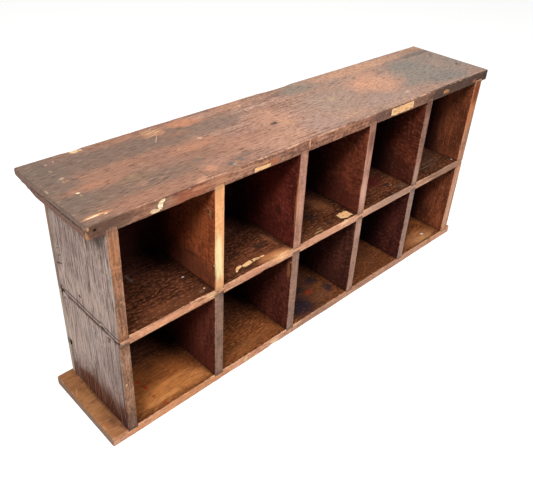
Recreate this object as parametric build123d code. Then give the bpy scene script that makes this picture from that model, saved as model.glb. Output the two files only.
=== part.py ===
from build123d import *
import os

# An old wooden pigeonhole letter organizer: two rows of open boxes between a
# base, a middle shelf and an overhanging top, closed behind by two thin boards.
# Lengths are millimetres. The front faces -Y and the underside lies on z = 0.

# Openings
opening_columns = 5
opening_width = 110.0
lower_opening_height = 121.0
upper_opening_height = 126.5

# Boards
left_side_thickness = 12.0
right_side_thickness = 17.0
divider_thickness = 12.5
side_depth = 114.0
shelf_thickness = 11.5
base_thickness = 12.0
top_thickness = 15.0
back_thickness = 6.0

# Overhangs past the sides and past the back
top_overhang_left = 17.5
top_overhang_right = 13.5
top_overhang_rear = 13.5
base_overhang_left = 19.5
base_overhang_right = 9.0
base_overhang_rear = 2.0

# Housings: shallow grooves that take the ends of the upright boards
housing_depth = 3.5
housing_clearance = 0.15
shelf_end_setback = 1.5
cut_overrun = 5.0

# Worn edges of the top and the base
top_arris_radius = 1.6
top_right_end_radius = 4.5
base_arris_radius = 1.2
largest_arris_share = 0.3

# Corner broken off the underside of the top, at the rear of its left end
broken_corner_length = 30.0
broken_corner_depth = 44.0
broken_corner_height = 8.5

# Nails through the top and the base into the ends of the uprights
nail_length = 36.0
nail_shank_radius = 1.1
nail_head_radius = 2.1
nail_head_thickness = 1.0
nail_point_length = 4.0
nail_set_depth = 0.3
nail_clearance = 0.1

# Brads through the back boards
brad_length = 22.0
brad_shank_radius = 0.8
brad_head_radius = 1.6
brad_head_thickness = 0.8
brad_point_length = 2.5
brad_set_depth = 0.2

# Places of the nails, as shares of the side's depth, and of the brads, as shares of an opening's height
left_nail_shares = (0.14, 0.43, 0.70, 0.93)
right_nail_shares = (0.36, 0.78)
divider_nail_shares = (0.48, 0.88)
base_nail_shares = (0.20, 0.70)
brad_height_shares = (0.20, 0.62)

# Scraps of old paper labels
label_thickness = 0.3
# Torn outlines on the top's front edge: shares of the opening's width and of the top's thickness
edge_scrap_shares = {
    0: ((0.31, 0.16), (0.35, 0.10), (0.39, 0.26), (0.45, 0.74), (0.43, 0.82), (0.37, 0.62), (0.32, 0.34)),
    1: ((0.38, 0.14), (0.57, 0.13), (0.58, 0.56), (0.47, 0.60), (0.39, 0.54)),
    3: ((0.27, 0.16), (0.45, 0.13), (0.68, 0.18), (0.69, 0.80), (0.50, 0.78), (0.27, 0.81)),
    4: ((0.21, 0.34), (0.33, 0.30), (0.34, 0.66), (0.22, 0.70)),
}
# Torn outlines on the shelf: shares of the opening's width and of the side's depth
shelf_scrap_shares = {
    1: ((0.25, 0.06), (0.40, 0.055), (0.62, 0.07), (0.67, 0.11), (0.52, 0.105), (0.38, 0.13), (0.27, 0.10)),
    2: ((0.79, 0.03), (0.94, 0.025), (0.95, 0.13), (0.86, 0.15), (0.78, 0.12)),
}

# The frame: the origin is at the middle of the whole object's underside
body_width = (
    left_side_thickness
    + opening_columns * opening_width
    + (opening_columns - 1) * divider_thickness
    + right_side_thickness
)
left_reach = max(top_overhang_left, base_overhang_left)
right_reach = max(top_overhang_right, base_overhang_right)
rear_reach = max(top_overhang_rear, base_overhang_rear)
overall_length = left_reach + body_width + right_reach
overall_depth = label_thickness + side_depth + back_thickness + rear_reach

x_left = left_reach - overall_length / 2
x_right = x_left + body_width
y_front = label_thickness - overall_depth / 2
y_back_inside = y_front + side_depth
y_back_outside = y_back_inside + back_thickness
z_floor = base_thickness
z_shelf_underside = z_floor + lower_opening_height
z_shelf = z_shelf_underside + shelf_thickness
z_ceiling = z_shelf + upper_opening_height
z_top = z_ceiling + top_thickness
z_back_seam = z_shelf_underside + shelf_thickness / 2


def board(x, y, z):
    """A plain board between pairs of faces along X, Y and Z."""
    size = [high - low for low, high in (x, y, z)]
    middle = [(low + high) / 2 for low, high in (x, y, z)]
    return Pos(*middle) * Box(*size)


def opening_left(column):
    """The left wall of a column of openings, counted from 0."""
    return x_left + left_side_thickness + column * (opening_width + divider_thickness)


def upright_spans():
    """The faces along X of the left side, the dividers and the right side, in that order."""
    dividers = [opening_left(column + 1) for column in range(opening_columns - 1)]
    spans = [(x_left, x_left + left_side_thickness)]
    spans += [(right - divider_thickness, right) for right in dividers]
    return spans + [(x_right - right_side_thickness, x_right)]


def upright_names(row):
    """Names of one row's uprights, in the order of upright_spans."""
    dividers = [f"{row}_divider_{count}" for count in range(1, opening_columns)]
    return [f"left_side_{row}"] + dividers + [f"right_side_{row}"]


def housing(span, z):
    """The cutter of the groove that takes one upright's end."""
    x = (span[0] - housing_clearance, span[1] + housing_clearance)
    y = (y_front - cut_overrun, y_back_inside + housing_clearance)
    return board(x, y, z)


def driven_nail(length, shank_radius, head_radius, head_thickness, point_length):
    """A round nail pointing down, with the top of its head on z = 0."""
    outline = Polyline(
        (0, 0),
        (head_radius, 0),
        (head_radius, -head_thickness),
        (shank_radius, -head_thickness),
        (shank_radius, point_length - length),
        (0, -length),
        close=True,
    )
    return revolve(Plane.XZ * make_face(outline), Axis.Z)


def nail_hole(length, shank_radius, head_radius, head_thickness, point_length):
    """The hole that a nail of these sizes sits in, open above its head."""
    head = head_radius + nail_clearance
    shank = shank_radius + nail_clearance
    outline = Polyline(
        (0, cut_overrun),
        (head, cut_overrun),
        (head, -head_thickness),
        (shank, -head_thickness),
        (shank, point_length - length),
        (0, -length - nail_clearance),
        close=True,
    )
    return revolve(Plane.XZ * make_face(outline), Axis.Z)


nail_sizes = (nail_length, nail_shank_radius, nail_head_radius, nail_head_thickness, nail_point_length)
brad_sizes = (brad_length, brad_shank_radius, brad_head_radius, brad_head_thickness, brad_point_length)


def drive(parts, group, boards, places, sizes):
    """Puts a group of like nails at their places, and their holes into the boards that they join."""
    nail = driven_nail(*sizes)
    hole = nail_hole(*sizes)
    for place in places:
        for name in boards:
            parts[name] = parts[name] - place * hole
    parts.setdefault(group, []).extend(place * nail for place in places)


def depth_places(span, shares, z, turn):
    """Places along the middle of one upright's end, at shares of its depth."""
    x = sum(span) / 2
    return [Pos(x, y_front + share * side_depth, z) * turn for share in shares]


def height_places(span, z, height, turn):
    """Places on the back along the middle of one upright, at shares of its opening's height."""
    x = sum(span) / 2
    y = y_back_outside - brad_set_depth
    return [Pos(x, y, z + share * height) * turn for share in brad_height_shares]


def make_top():
    """The top: overhanging, with worn edges, a broken corner and housings below."""
    x = (x_left - top_overhang_left, x_right + top_overhang_right)
    y = (y_front, y_back_outside + top_overhang_rear)
    raw = board(x, y, (z_ceiling, z_top))
    most = largest_arris_share * top_thickness
    right_end = raw.edges().filter_by(Axis.Y).group_by(Axis.Z)[0].sort_by(Axis.X)[-1]
    raw = fillet(right_end, min(top_right_end_radius, most))
    upper = raw.edges().group_by(Axis.Z)[-1]
    raw = fillet(upper, min(top_arris_radius, most))
    break_plane = Plane(
        origin=(x[0] + broken_corner_length, y[1], z_ceiling),
        z_dir=(1 / broken_corner_length, -1 / broken_corner_depth, 1 / broken_corner_height),
    )
    top = split(raw, bisect_by=break_plane, keep=Keep.TOP)
    for span in upright_spans():
        top = top - housing(span, (z_ceiling - cut_overrun, z_ceiling + housing_depth))
    return top


def make_base():
    """The base: longer than the body, with worn edges and housings above."""
    x = (x_left - base_overhang_left, x_right + base_overhang_right)
    y = (y_front, y_back_outside + base_overhang_rear)
    raw = board(x, y, (0, z_floor))
    base = fillet(raw.edges(), min(base_arris_radius, largest_arris_share * base_thickness))
    for span in upright_spans():
        base = base - housing(span, (z_floor - housing_depth, z_floor + cut_overrun))
    return base


def make_shelf():
    """The middle shelf: housed on both faces, so that only a thin web passes between the uprights."""
    x = (x_left + shelf_end_setback, x_right - shelf_end_setback)
    shelf = board(x, (y_front, y_back_inside), (z_shelf_underside, z_shelf))
    for span in upright_spans():
        shelf = shelf - housing(span, (z_shelf - housing_depth, z_shelf + cut_overrun))
        shelf = shelf - housing(span, (z_shelf_underside - cut_overrun, z_shelf_underside + housing_depth))
    return shelf


def make_uprights(row, z):
    """One row's sides and dividers, reaching into the housings above and below."""
    reach = (z[0] - housing_depth, z[1] + housing_depth)
    depth = (y_front, y_back_inside)
    pairs = zip(upright_names(row), upright_spans())
    return {name: board(span, depth, reach) for name, span in pairs}


def make_scraps():
    """Scraps of paper labels, on the top's front edge and on the shelf."""
    edge = []
    for column, shares in edge_scrap_shares.items():
        if column < opening_columns:
            left = opening_left(column)
            outline = [(left + x * opening_width, z_ceiling + z * top_thickness) for x, z in shares]
            face = Plane.XZ * make_face(Polyline(*outline, close=True))
            edge.append(Pos(0, y_front, 0) * extrude(face, label_thickness, dir=(0, -1, 0)))
    shelf = []
    for column, shares in shelf_scrap_shares.items():
        if column < opening_columns:
            left = opening_left(column)
            outline = [(left + x * opening_width, y_front + y * side_depth) for x, y in shares]
            face = make_face(Polyline(*outline, close=True))
            shelf.append(Pos(0, 0, z_shelf) * extrude(face, label_thickness, dir=(0, 0, 1)))
    return {"edge_label_scraps": edge, "shelf_label_scraps": shelf}


def nail_together(parts):
    """Drives the nails of the top, the base and the two back boards."""
    down = Rot(0, 0, 0)
    up = Rot(180, 0, 0)
    forward = Rot(-90, 0, 0)
    spans = upright_spans()
    last = len(spans) - 1
    for count, span in enumerate(spans):
        above = upright_names("upper")[count]
        below = upright_names("lower")[count]
        group, shares = "top_nails_middle", divider_nail_shares
        if count == 0:
            group, shares = "top_nails_left", left_nail_shares
        if count == last:
            group, shares = "top_nails_right", right_nail_shares
        places = depth_places(span, shares, z_top - nail_set_depth, down)
        drive(parts, group, ["top_board", above], places, nail_sizes)
        places = depth_places(span, base_nail_shares, nail_set_depth, up)
        drive(parts, "base_nails", ["base_board", below], places, nail_sizes)
        places = height_places(span, z_shelf, upper_opening_height, forward)
        drive(parts, "upper_back_brads", ["upper_back_board", above], places, brad_sizes)
        places = height_places(span, z_floor, lower_opening_height, forward)
        drive(parts, "lower_back_brads", ["lower_back_board", below], places, brad_sizes)


parts = {"top_board": make_top(), "base_board": make_base(), "middle_shelf": make_shelf()}
parts.update(make_uprights("upper", (z_shelf, z_ceiling)))
parts.update(make_uprights("lower", (z_floor, z_shelf_underside)))
back_x = (x_left, x_right)
back_y = (y_back_inside, y_back_outside)
parts["upper_back_board"] = board(back_x, back_y, (z_back_seam, z_ceiling))
parts["lower_back_board"] = board(back_x, back_y, (z_floor, z_back_seam))
nail_together(parts)
parts.update(make_scraps())

os.makedirs("parts", exist_ok=True)
for name, shape in parts.items():
    solid = Compound(children=shape) if isinstance(shape, list) else shape
    export_step(solid, f"parts/{name}.step")
    print(name)
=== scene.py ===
import math
from types import SimpleNamespace

import bmesh
import bpy
import numpy as np
from mathutils import Matrix, Vector


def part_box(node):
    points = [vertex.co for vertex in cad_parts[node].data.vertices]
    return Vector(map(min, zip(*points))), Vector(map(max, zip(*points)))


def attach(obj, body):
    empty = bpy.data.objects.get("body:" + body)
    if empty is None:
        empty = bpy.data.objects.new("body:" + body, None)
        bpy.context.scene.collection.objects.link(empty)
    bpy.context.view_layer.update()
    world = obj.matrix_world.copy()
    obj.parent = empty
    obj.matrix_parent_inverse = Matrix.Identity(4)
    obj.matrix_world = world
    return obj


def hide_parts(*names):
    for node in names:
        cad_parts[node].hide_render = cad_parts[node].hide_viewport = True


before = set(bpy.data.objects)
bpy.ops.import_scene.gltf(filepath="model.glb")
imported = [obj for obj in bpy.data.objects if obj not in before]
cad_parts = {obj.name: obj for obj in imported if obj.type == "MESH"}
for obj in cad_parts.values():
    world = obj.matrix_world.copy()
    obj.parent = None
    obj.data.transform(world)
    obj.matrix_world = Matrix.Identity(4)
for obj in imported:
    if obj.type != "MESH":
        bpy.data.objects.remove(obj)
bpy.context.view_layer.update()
millimetre = 0.001
dividerCount = sum(node.startswith("upper_divider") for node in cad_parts)  # in each row
print("frame loaded:", len(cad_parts), "nodes")


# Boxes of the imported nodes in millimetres, and the body's front left corner on the table
def boxOf(node):
    low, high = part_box(node)
    return np.array(low) / millimetre, np.array(high) / millimetre


def uprightsOf(row):
    dividers = [f"{row}_divider_{n + 1}" for n in range(dividerCount)]
    return [f"left_side_{row}"] + dividers + [f"right_side_{row}"]


bodyLow, bodyHigh = boxOf("left_side_upper")
bodyCorner = np.array([bodyLow[0], bodyLow[1], 0.0])
backInside = bodyHigh[1]
bodySpan = (bodyLow[0], boxOf("right_side_upper")[1][0])
topLow, topHigh = boxOf("top_board")
shelfTop = boxOf("middle_shelf")[1][2]
baseTop = boxOf("base_board")[1][2]


# Camera fitted to the photograph's corners
cameraSetup = dict(
    eye=(-0.5308, -0.4795, 0.5826), azimuth=-46.32, elevation=33.37, roll=3.73,
    lens=42.27, sensor=36.0, shift=(-0.0193, -0.0236),
)


def addCamera(setup):
    data = bpy.data.cameras.new("photoCamera")
    data.lens = setup["lens"]
    data.sensor_width = setup["sensor"]
    data.shift_x, data.shift_y = setup["shift"]
    data.clip_start = 0.01
    camera = bpy.data.objects.new("photoCamera", data)
    turn = Matrix.Rotation(math.radians(setup["azimuth"]), 4, "Z")
    tilt = Matrix.Rotation(math.radians(90 - setup["elevation"]), 4, "X")
    roll = Matrix.Rotation(math.radians(setup["roll"]), 4, "Z")
    camera.matrix_world = Matrix.Translation(setup["eye"]) @ turn @ tilt @ roll
    bpy.context.scene.collection.objects.link(camera)
    bpy.context.scene.camera = camera


# Wiring of shader nodes: a value that is a socket is linked, any other is set on the socket
def addNode(tree, kind, inputs=None, **settings):
    made = tree.nodes.new(kind)
    for key, value in settings.items():
        setattr(made, key, value)
    for key, value in (inputs or {}).items():
        if isinstance(value, bpy.types.NodeSocket):
            tree.links.new(value, made.inputs[key])
        else:
            made.inputs[key].default_value = value
    return made


def mathOf(tree, operation, a, b=0.0, c=0.0, clamp=False):
    inputs = {0: a, 1: b, 2: c}
    return addNode(tree, "ShaderNodeMath", inputs, operation=operation, use_clamp=clamp).outputs[0]


def productOf(tree, *values):
    total = values[0]
    for value in values[1:]:
        total = mathOf(tree, "MULTIPLY", total, value)
    return total


def weighted(tree, parts):
    total = 0.0
    for value, weight in parts:
        total = mathOf(tree, "MULTIPLY_ADD", value, weight, total)
    return total


def vectorOf(tree, operation, a, b, c=None):
    inputs = {0: a, 1: b} if c is None else {0: a, 1: b, 2: c}
    return addNode(tree, "ShaderNodeVectorMath", inputs, operation=operation).outputs[0]


def rangeOf(tree, value, low, high, toLow=0.0, toHigh=1.0):
    inputs = {0: value, 1: low, 2: high, 3: toLow, 4: toHigh}
    return addNode(tree, "ShaderNodeMapRange", inputs, interpolation_type="SMOOTHSTEP").outputs[0]


def colourOf(value):
    return (*value, 1.0) if isinstance(value, tuple) else value


def mixOf(tree, share, a, b):
    inputs = {0: share, 6: colourOf(a), 7: colourOf(b)}
    return addNode(tree, "ShaderNodeMix", inputs, data_type="RGBA").outputs[2]


def rampOf(tree, value, colours):
    ramp = addNode(tree, "ShaderNodeValToRGB", {0: value})
    stops = ramp.color_ramp.elements
    places = np.linspace(0.22, 0.8, len(colours))
    while len(stops) < len(colours):
        stops.new(0.5)
    for stop, place, colour in zip(stops, places, colours):
        stop.position = place
        stop.color = colourOf(colour)
    return ramp.outputs[0]


def noiseOf(tree, coords, scale, offset=(0, 0, 0), detail=3.0, rough=0.6, output="Fac"):
    vector = vectorOf(tree, "MULTIPLY_ADD", coords, scale, offset)
    inputs = {"Vector": vector, "Scale": 1.0, "Detail": detail, "Roughness": rough}
    return addNode(tree, "ShaderNodeTexNoise", inputs).outputs[output]


def attributeOf(tree, name):
    return addNode(tree, "ShaderNodeAttribute", attribute_name=name).outputs["Fac"]


# Links that every finish has: its colour, its roughness and a bump from a height
def finishShader(tree, shader, colour, rough, height, strength, distance):
    bumpInputs = {"Strength": strength, "Distance": distance, "Height": height}
    tree.links.new(colour, shader.inputs["Base Color"])
    tree.links.new(rough, shader.inputs["Roughness"])
    tree.links.new(addNode(tree, "ShaderNodeBump", bumpInputs).outputs[0], shader.inputs["Normal"])


def newMaterial(name):
    material = bpy.data.materials.new(name)
    material.use_nodes = True
    tree = material.node_tree
    coords = addNode(tree, "ShaderNodeTexCoord").outputs["Object"]
    return material, tree, tree.nodes["Principled BSDF"], coords


# Floor and world: white to the camera and in reflections, plain grey light for everything else
studio = dict(
    floorSize=9.0, floorColour=(0.38, 0.38, 0.38), floorGlow=0.86,
    skyColour=(0.95, 0.97, 1.0), skyLight=0.05, seenColour=(1.0, 1.0, 1.0),
    lamps=(
        dict(name="keyLamp", at=(0.35, -1.45, 1.55), size=0.6, watts=34.0, colour=(1.0, 0.97, 0.93)),
        dict(name="fillLamp", at=(-1.34, -0.79, 1.69), size=0.5, watts=32.0, colour=(1.0, 0.97, 0.94)),
        dict(name="topLamp", at=(-0.10, 0.35, 1.70), size=1.4, watts=4.0, colour=(1.0, 0.98, 0.96)),
    ),
    aim=(0.0, 0.0, 0.14),
)


def seenRay(tree):
    path = addNode(tree, "ShaderNodeLightPath").outputs
    shown = mathOf(tree, "MAXIMUM", path["Is Camera Ray"], path["Is Glossy Ray"])
    return mathOf(tree, "MAXIMUM", shown, path["Is Transmission Ray"])


def addWorld(setup):
    world = bpy.data.worlds.new("studioWorld")
    world.use_nodes = True
    bpy.context.scene.world = world
    tree = world.node_tree
    tree.nodes.clear()
    skyInputs = {0: colourOf(setup["skyColour"]), 1: setup["skyLight"]}
    soft = addNode(tree, "ShaderNodeBackground", skyInputs).outputs[0]
    seen = addNode(tree, "ShaderNodeBackground", {0: colourOf(setup["seenColour"]), 1: 1.0}).outputs[0]
    sky = addNode(tree, "ShaderNodeMixShader", {0: seenRay(tree), 1: soft, 2: seen}).outputs[0]
    addNode(tree, "ShaderNodeOutputWorld", {0: sky})


def addFloor(setup):
    half = setup["floorSize"] / 2
    mesh = bpy.data.meshes.new("studioFloor")
    corners = [(-half, -half, 0), (half, -half, 0), (half, half, 0), (-half, half, 0)]
    mesh.from_pydata(corners, [], [(0, 1, 2, 3)])
    floor = bpy.data.objects.new("studioFloor", mesh)
    bpy.context.scene.collection.objects.link(floor)
    material = bpy.data.materials.new("studioFloor")
    material.use_nodes = True
    tree = material.node_tree
    tree.nodes.clear()
    matt = addNode(tree, "ShaderNodeBsdfDiffuse", {0: colourOf(setup["floorColour"])}).outputs[0]
    strength = mathOf(tree, "MULTIPLY", seenRay(tree), setup["floorGlow"])
    glow = addNode(tree, "ShaderNodeEmission", {0: colourOf(setup["seenColour"]), 1: strength}).outputs[0]
    both = addNode(tree, "ShaderNodeAddShader", {0: matt, 1: glow}).outputs[0]
    addNode(tree, "ShaderNodeOutputMaterial", {0: both})
    mesh.materials.append(material)


def addLamps(setup):
    for lamp in setup["lamps"]:
        data = bpy.data.lights.new(lamp["name"], "AREA")
        data.size = lamp["size"]
        data.energy = lamp["watts"]
        data.color = lamp["colour"]
        made = bpy.data.objects.new(lamp["name"], data)
        bpy.context.scene.collection.objects.link(made)
        made.location = lamp["at"]
        aim = Vector(setup["aim"]) - made.location
        made.rotation_euler = aim.to_track_quat("-Z", "Y").to_euler()


addCamera(cameraSetup)
addWorld(studio)
addFloor(studio)
addLamps(studio)
bpy.context.scene.view_settings.view_transform = "Standard"
print("camera, floor and lamps are in place")


# A smooth curve between -1 and 1: a few sine waves of seeded pitch and phase, added up
def rippleOf(seed, count, shortest, longest):
    draw = np.random.default_rng(seed)
    pitches = np.geomspace(longest, shortest, count) * draw.uniform(0.85, 1.15, count)
    phases = draw.uniform(0, 2 * math.pi, count)
    heights = pitches ** 0.5
    heights = heights / heights.sum()

    def ripple(along):
        waves = np.sin(2 * math.pi * np.asarray(along)[..., None] / pitches + phases)
        return (waves * heights).sum(axis=-1)

    return ripple


# Grid lines: even ones about a step apart, the exact ones put in, and even ones close to those left out
def gridLines(low, high, step, exact):
    even = np.linspace(low, high, max(3, round((high - low) / step) + 1))
    exact = np.array(sorted(e for e in exact if low < e < high))
    if len(exact):
        even = even[np.abs(even[:, None] - exact[None, :]).min(axis=1) > 0.4 * step]
    return np.unique(np.round(np.concatenate([[low], even, exact, [high]]), 4))


# Mesh from an array of grids, shaped (pieces, rows, points round, 3): quads between rows and round each row,
# with points that coincide merged, so that rows shrunk to a line or a point close the ends
def gridPiece(name, points, values, sharp=35.0):
    pieces, rows, around, _ = points.shape
    index = np.arange(pieces * rows * around).reshape(pieces, rows, around)
    after = np.roll(index, -1, axis=2)
    quads = np.stack([index[:, :-1], after[:, :-1], after[:, 1:], index[:, 1:]], axis=-1).reshape(-1, 4)
    mesh = bpy.data.meshes.new(name)
    mesh.from_pydata(points.reshape(-1, 3) * millimetre, [], quads)
    for key, value in values.items():
        layer = mesh.attributes.new(key, "FLOAT", "POINT")
        spread = np.broadcast_to(value, points.shape[:3])
        layer.data.foreach_set("value", np.ascontiguousarray(spread, dtype=np.float32).ravel())
    form = bmesh.new()
    form.from_mesh(mesh)
    bmesh.ops.remove_doubles(form, verts=form.verts, dist=1e-6)
    bmesh.ops.dissolve_degenerate(form, edges=form.edges, dist=1e-7)
    bmesh.ops.recalc_face_normals(form, faces=form.faces)
    form.to_mesh(mesh)
    form.free()
    mesh.polygons.foreach_set("use_smooth", np.ones(len(mesh.polygons), dtype=bool))
    mesh.set_sharp_from_angle(angle=math.radians(sharp))
    mesh.update()
    piece = bpy.data.objects.new(name, mesh)
    bpy.context.scene.collection.objects.link(piece)
    return piece


def dress(piece, material, node):
    piece.data.materials.append(material)
    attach(piece, "root")
    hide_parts(node)


# Section of a board: a rectangle with rounded corners, each corner a quarter circle about its own centre
def sectionRing(low, high, radius, vLines, wLines, steps=4):
    turn = np.linspace(0, math.pi / 2, steps + 1)
    corners = (
        (low[0], low[1], math.pi), (high[0], low[1], 1.5 * math.pi),
        (high[0], high[1], 0.0), (low[0], high[1], 0.5 * math.pi),
    )
    sides = (
        (vLines, low[1] + 0 * vLines, (0, -1)),
        (high[0] + 0 * wLines, wLines, (1, 0)),
        (vLines[::-1], high[1] + 0 * vLines, (0, 1)),
        (low[0] + 0 * wLines, wLines[::-1], (-1, 0)),
    )
    v, w, normalV, normalW = [], [], [], []
    for (cornerV, cornerW, start), (sideV, sideW, facing) in zip(corners, sides):
        centreV = np.clip(cornerV, low[0] + radius, high[0] - radius)
        centreW = np.clip(cornerW, low[1] + radius, high[1] - radius)
        v += [centreV + radius * np.cos(start + turn), sideV]
        w += [centreW + radius * np.sin(start + turn), sideW]
        normalV += [np.cos(start + turn), facing[0] + 0 * sideV]
        normalW += [np.sin(start + turn), facing[1] + 0 * sideV]
    return [np.concatenate(part) for part in (v, w, normalV, normalW)]


# Rows along a board: both ends start as the section shrunk to its middle line, spread to the end's edge,
# turn the end's arris on a quarter circle, and meet in even lines along the board
def boardRows(low, high, half, ends, uLines):
    spread = np.array([1.0, 0.97, 0.9, 0.72, 0.4])
    turn = np.linspace(0, math.pi / 2, 5)
    parts = []
    for radius in ends:
        inset = np.concatenate([radius + (half - radius) * spread, radius * (1 - np.sin(turn))])
        fromEnd = np.concatenate([0 * spread, radius * (1 - np.cos(turn))])
        cap = np.concatenate([1 + 0 * spread, np.cos(turn)])
        parts.append((fromEnd, inset, cap))
    (lowFrom, lowInset, lowCap), (highFrom, highInset, highCap) = parts
    middle = uLines[(uLines > low + ends[0] + 0.01) & (uLines < high - ends[1] - 0.01)]
    u = np.concatenate([low + lowFrom, middle, high - highFrom[::-1]])
    inset = np.concatenate([lowInset, 0 * middle, highInset[::-1]])
    cap = np.concatenate([lowCap, 0 * middle, highCap[::-1]])
    return u, inset, cap


wallRun = 0.03  # half the run of a housing's wall
sectionStep = 1.6  # between grid lines through a board's thickness
grainOrders = dict(x=(0, 1, 2), z=(2, 1, 0), back=(0, 2, 1))

# Shape of a board in millimetres: radii of its arrises and ends, step of its grid, depth of wear, waves of
# its faces and edges, and what is cut into it; seat is how deep an upright is housed
shapeDefaults = dict(
    arris=1.0, ends=(0.8, 0.8), step=5.0, worn=0.6, bow=0.1, edgeBow=0.15, wearReach=2.4,
    grooves=(), pits=(), chips=(), cuts=(), gouges=(), cracks=(), seat=None, flatLow=False,
)
seamRun = np.array([0.5, 1.2, 2.4, 4.5])  # grid lines beside a joint, where the painted shade fades out
seamFade = 1.5  # how far from a joint the painted shade falls to about a third


# Board as a grid: rows along the grain u, and points round the section in v, front to back, and w, its
# thickness, with lines where housings, nail pits and gouges need them
def boardGrid(node, shape):
    order = list(grainOrders[shape["grain"]])
    low, high = (corner[order] for corner in boxOf(node))
    radius, step = shape["arris"], shape["step"]
    half, middle = (high[1:] - low[1:]) / 2, (high[1:] + low[1:]) / 2
    rings = np.array([0.0, 0.5, 0.9, 1.0, 1.1, 1.7])  # lines about a pit, in radii
    rings = np.concatenate([-rings[:0:-1], rings])
    exact = [[], [], []]
    for groove in shape["grooves"]:
        exact[0] += [end + side for end in groove["span"] for side in (-wallRun, wallRun)]
        exact[0] += list(groove["span"][0] - seamRun) + list(groove["span"][1] + seamRun)
        exact[1] += [groove["reach"] - wallRun, groove["reach"] + wallRun]
    if shape["seat"]:
        exact[0] += list(low[0] + shape["seat"] + seamRun) + list(high[0] - shape["seat"] - seamRun)
    for pit in shape["pits"]:
        exact[0] += list(pit["at"][0] + rings * pit["radius"])
        exact[2 if pit["face"] == "front" else 1] += list(pit["at"][1] + rings * pit["radius"])
    for gouge in shape["gouges"]:
        centre = (np.array(gouge["at"]) + bodyCorner)[order]
        for axis in (0, 1):
            exact[axis] += list(centre[axis] + np.linspace(-1, 1, 7) * gouge["radius"])
    beside = np.array([0.5, 1.3, 2.6, 5.0])  # lines next to an arris, where wear fades out
    exact[1] += list(low[1] + radius + beside) + list(high[1] - radius - beside)
    uLines = gridLines(low[0], high[0], step, exact[0])
    vLines = gridLines(low[1] + radius, high[1] - radius, step, exact[1])[1:-1]
    wLines = gridLines(low[2] + radius, high[2] - radius, sectionStep, exact[2])[1:-1]
    ringV, ringW, normalV, normalW = sectionRing(low[1:], high[1:], radius, vLines, wLines)
    rowU, inset, cap = boardRows(low[0], high[0], half.min(), shape["ends"], uLines)
    u = rowU[:, None] + 0 * ringV[None, :]
    cap = cap[:, None] + 0 * u
    toV = np.minimum(ringV - low[1], high[1] - ringV)
    toW = np.minimum(ringW - low[2], high[2] - ringW)
    toEnd = np.where(cap > 0.5, inset[:, None], np.minimum(u - low[0], high[0] - u))
    return SimpleNamespace(
        order=order, low=low, high=high, half=half, middle=middle, cap=cap, u=u,
        v=middle[0] + (ringV - middle[0])[None, :] * (1 - inset[:, None] / half[0]),
        w=middle[1] + (ringW - middle[1])[None, :] * (1 - inset[:, None] / half[1]),
        normalV=normalV[None, :], normalW=normalW[None, :],
        toArris=np.minimum(np.maximum(toV, toW)[None, :], toEnd), shaved=0 * u,
    )


# Depth of the housings in one face at a place
def pressed(shape, face, u, v):
    depth = 0.0 * (u + v)
    for groove in shape["grooves"]:
        if groove["face"] == face:
            within = (u > groove["span"][0]) & (u < groove["span"][1]) & (v < groove["reach"])
            depth = np.where(within, groove["depth"], depth)
    return depth


# Housings: the low face comes up, or the high face down, and the section between is squeezed to fit
def pressHousings(board, shape):
    lift = pressed(shape, "low", board.u, board.v)
    drop = pressed(shape, "high", board.u, board.v)
    thickness = board.high[2] - board.low[2]
    share = (board.w - board.low[2]) / thickness
    board.w = board.low[2] + lift + share * (thickness - lift - drop)


# Wave of a board's two long edges: how far the front edge moves back, and the rear edge forward
def edgeShift(shape, seed, u):
    return -shape["edgeBow"] * rippleOf(seed + 1, count=3, shortest=30, longest=120)(u * 0.8)


# Slow waves in the faces and along the two long edges
def bendFaces(board, shape, seed):
    wave = rippleOf(seed, count=4, shortest=45, longest=260)
    cross = rippleOf(seed + 1, count=3, shortest=30, longest=120)
    bow = shape["bow"] * (0.6 * wave(board.u) + 0.4 * cross(board.v) * wave(board.u + 70))
    board.w = board.w + np.where(shape["flatLow"] & (board.w < board.middle[1]), np.abs(bow), bow)
    fromMiddle = (board.v - board.middle[0]) / board.half[0]
    board.v = board.v - edgeShift(shape, seed, board.u) * fromMiddle


# Nail pits and holes: the square rings of the grid about each are drawn in to circles, then sink
def sinkPits(board, shape):
    for pit in shape["pits"]:
        onFront = pit["face"] == "front"
        facing = -board.normalV if onFront else board.normalW * (1 if pit["face"] == "high" else -1)
        onFace = (facing > 0.9) & (board.cap < 0.5)
        second = board.w if onFront else board.v
        a, b = board.u - pit["at"][0], second - pit["at"][1]
        square = np.maximum(np.abs(a), np.abs(b))
        circle = np.maximum(np.hypot(a, b), 1e-9)
        blend = np.clip((2.2 - square / pit["radius"]) / 1.1, 0, 1) * onFace
        factor = 1 + blend * (square / circle - 1)
        sink = pit["depth"] * np.clip((1 - square / pit["radius"]) / 0.1, 0, 1) * onFace
        board.u = pit["at"][0] + a * factor
        moved = np.where(onFace, pit["at"][1] + b * factor, second)
        if onFront:
            board.w, board.v = moved, board.v + sink
        else:
            board.v, board.w = moved, board.w - sink * (1 if pit["face"] == "high" else -1)


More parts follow.
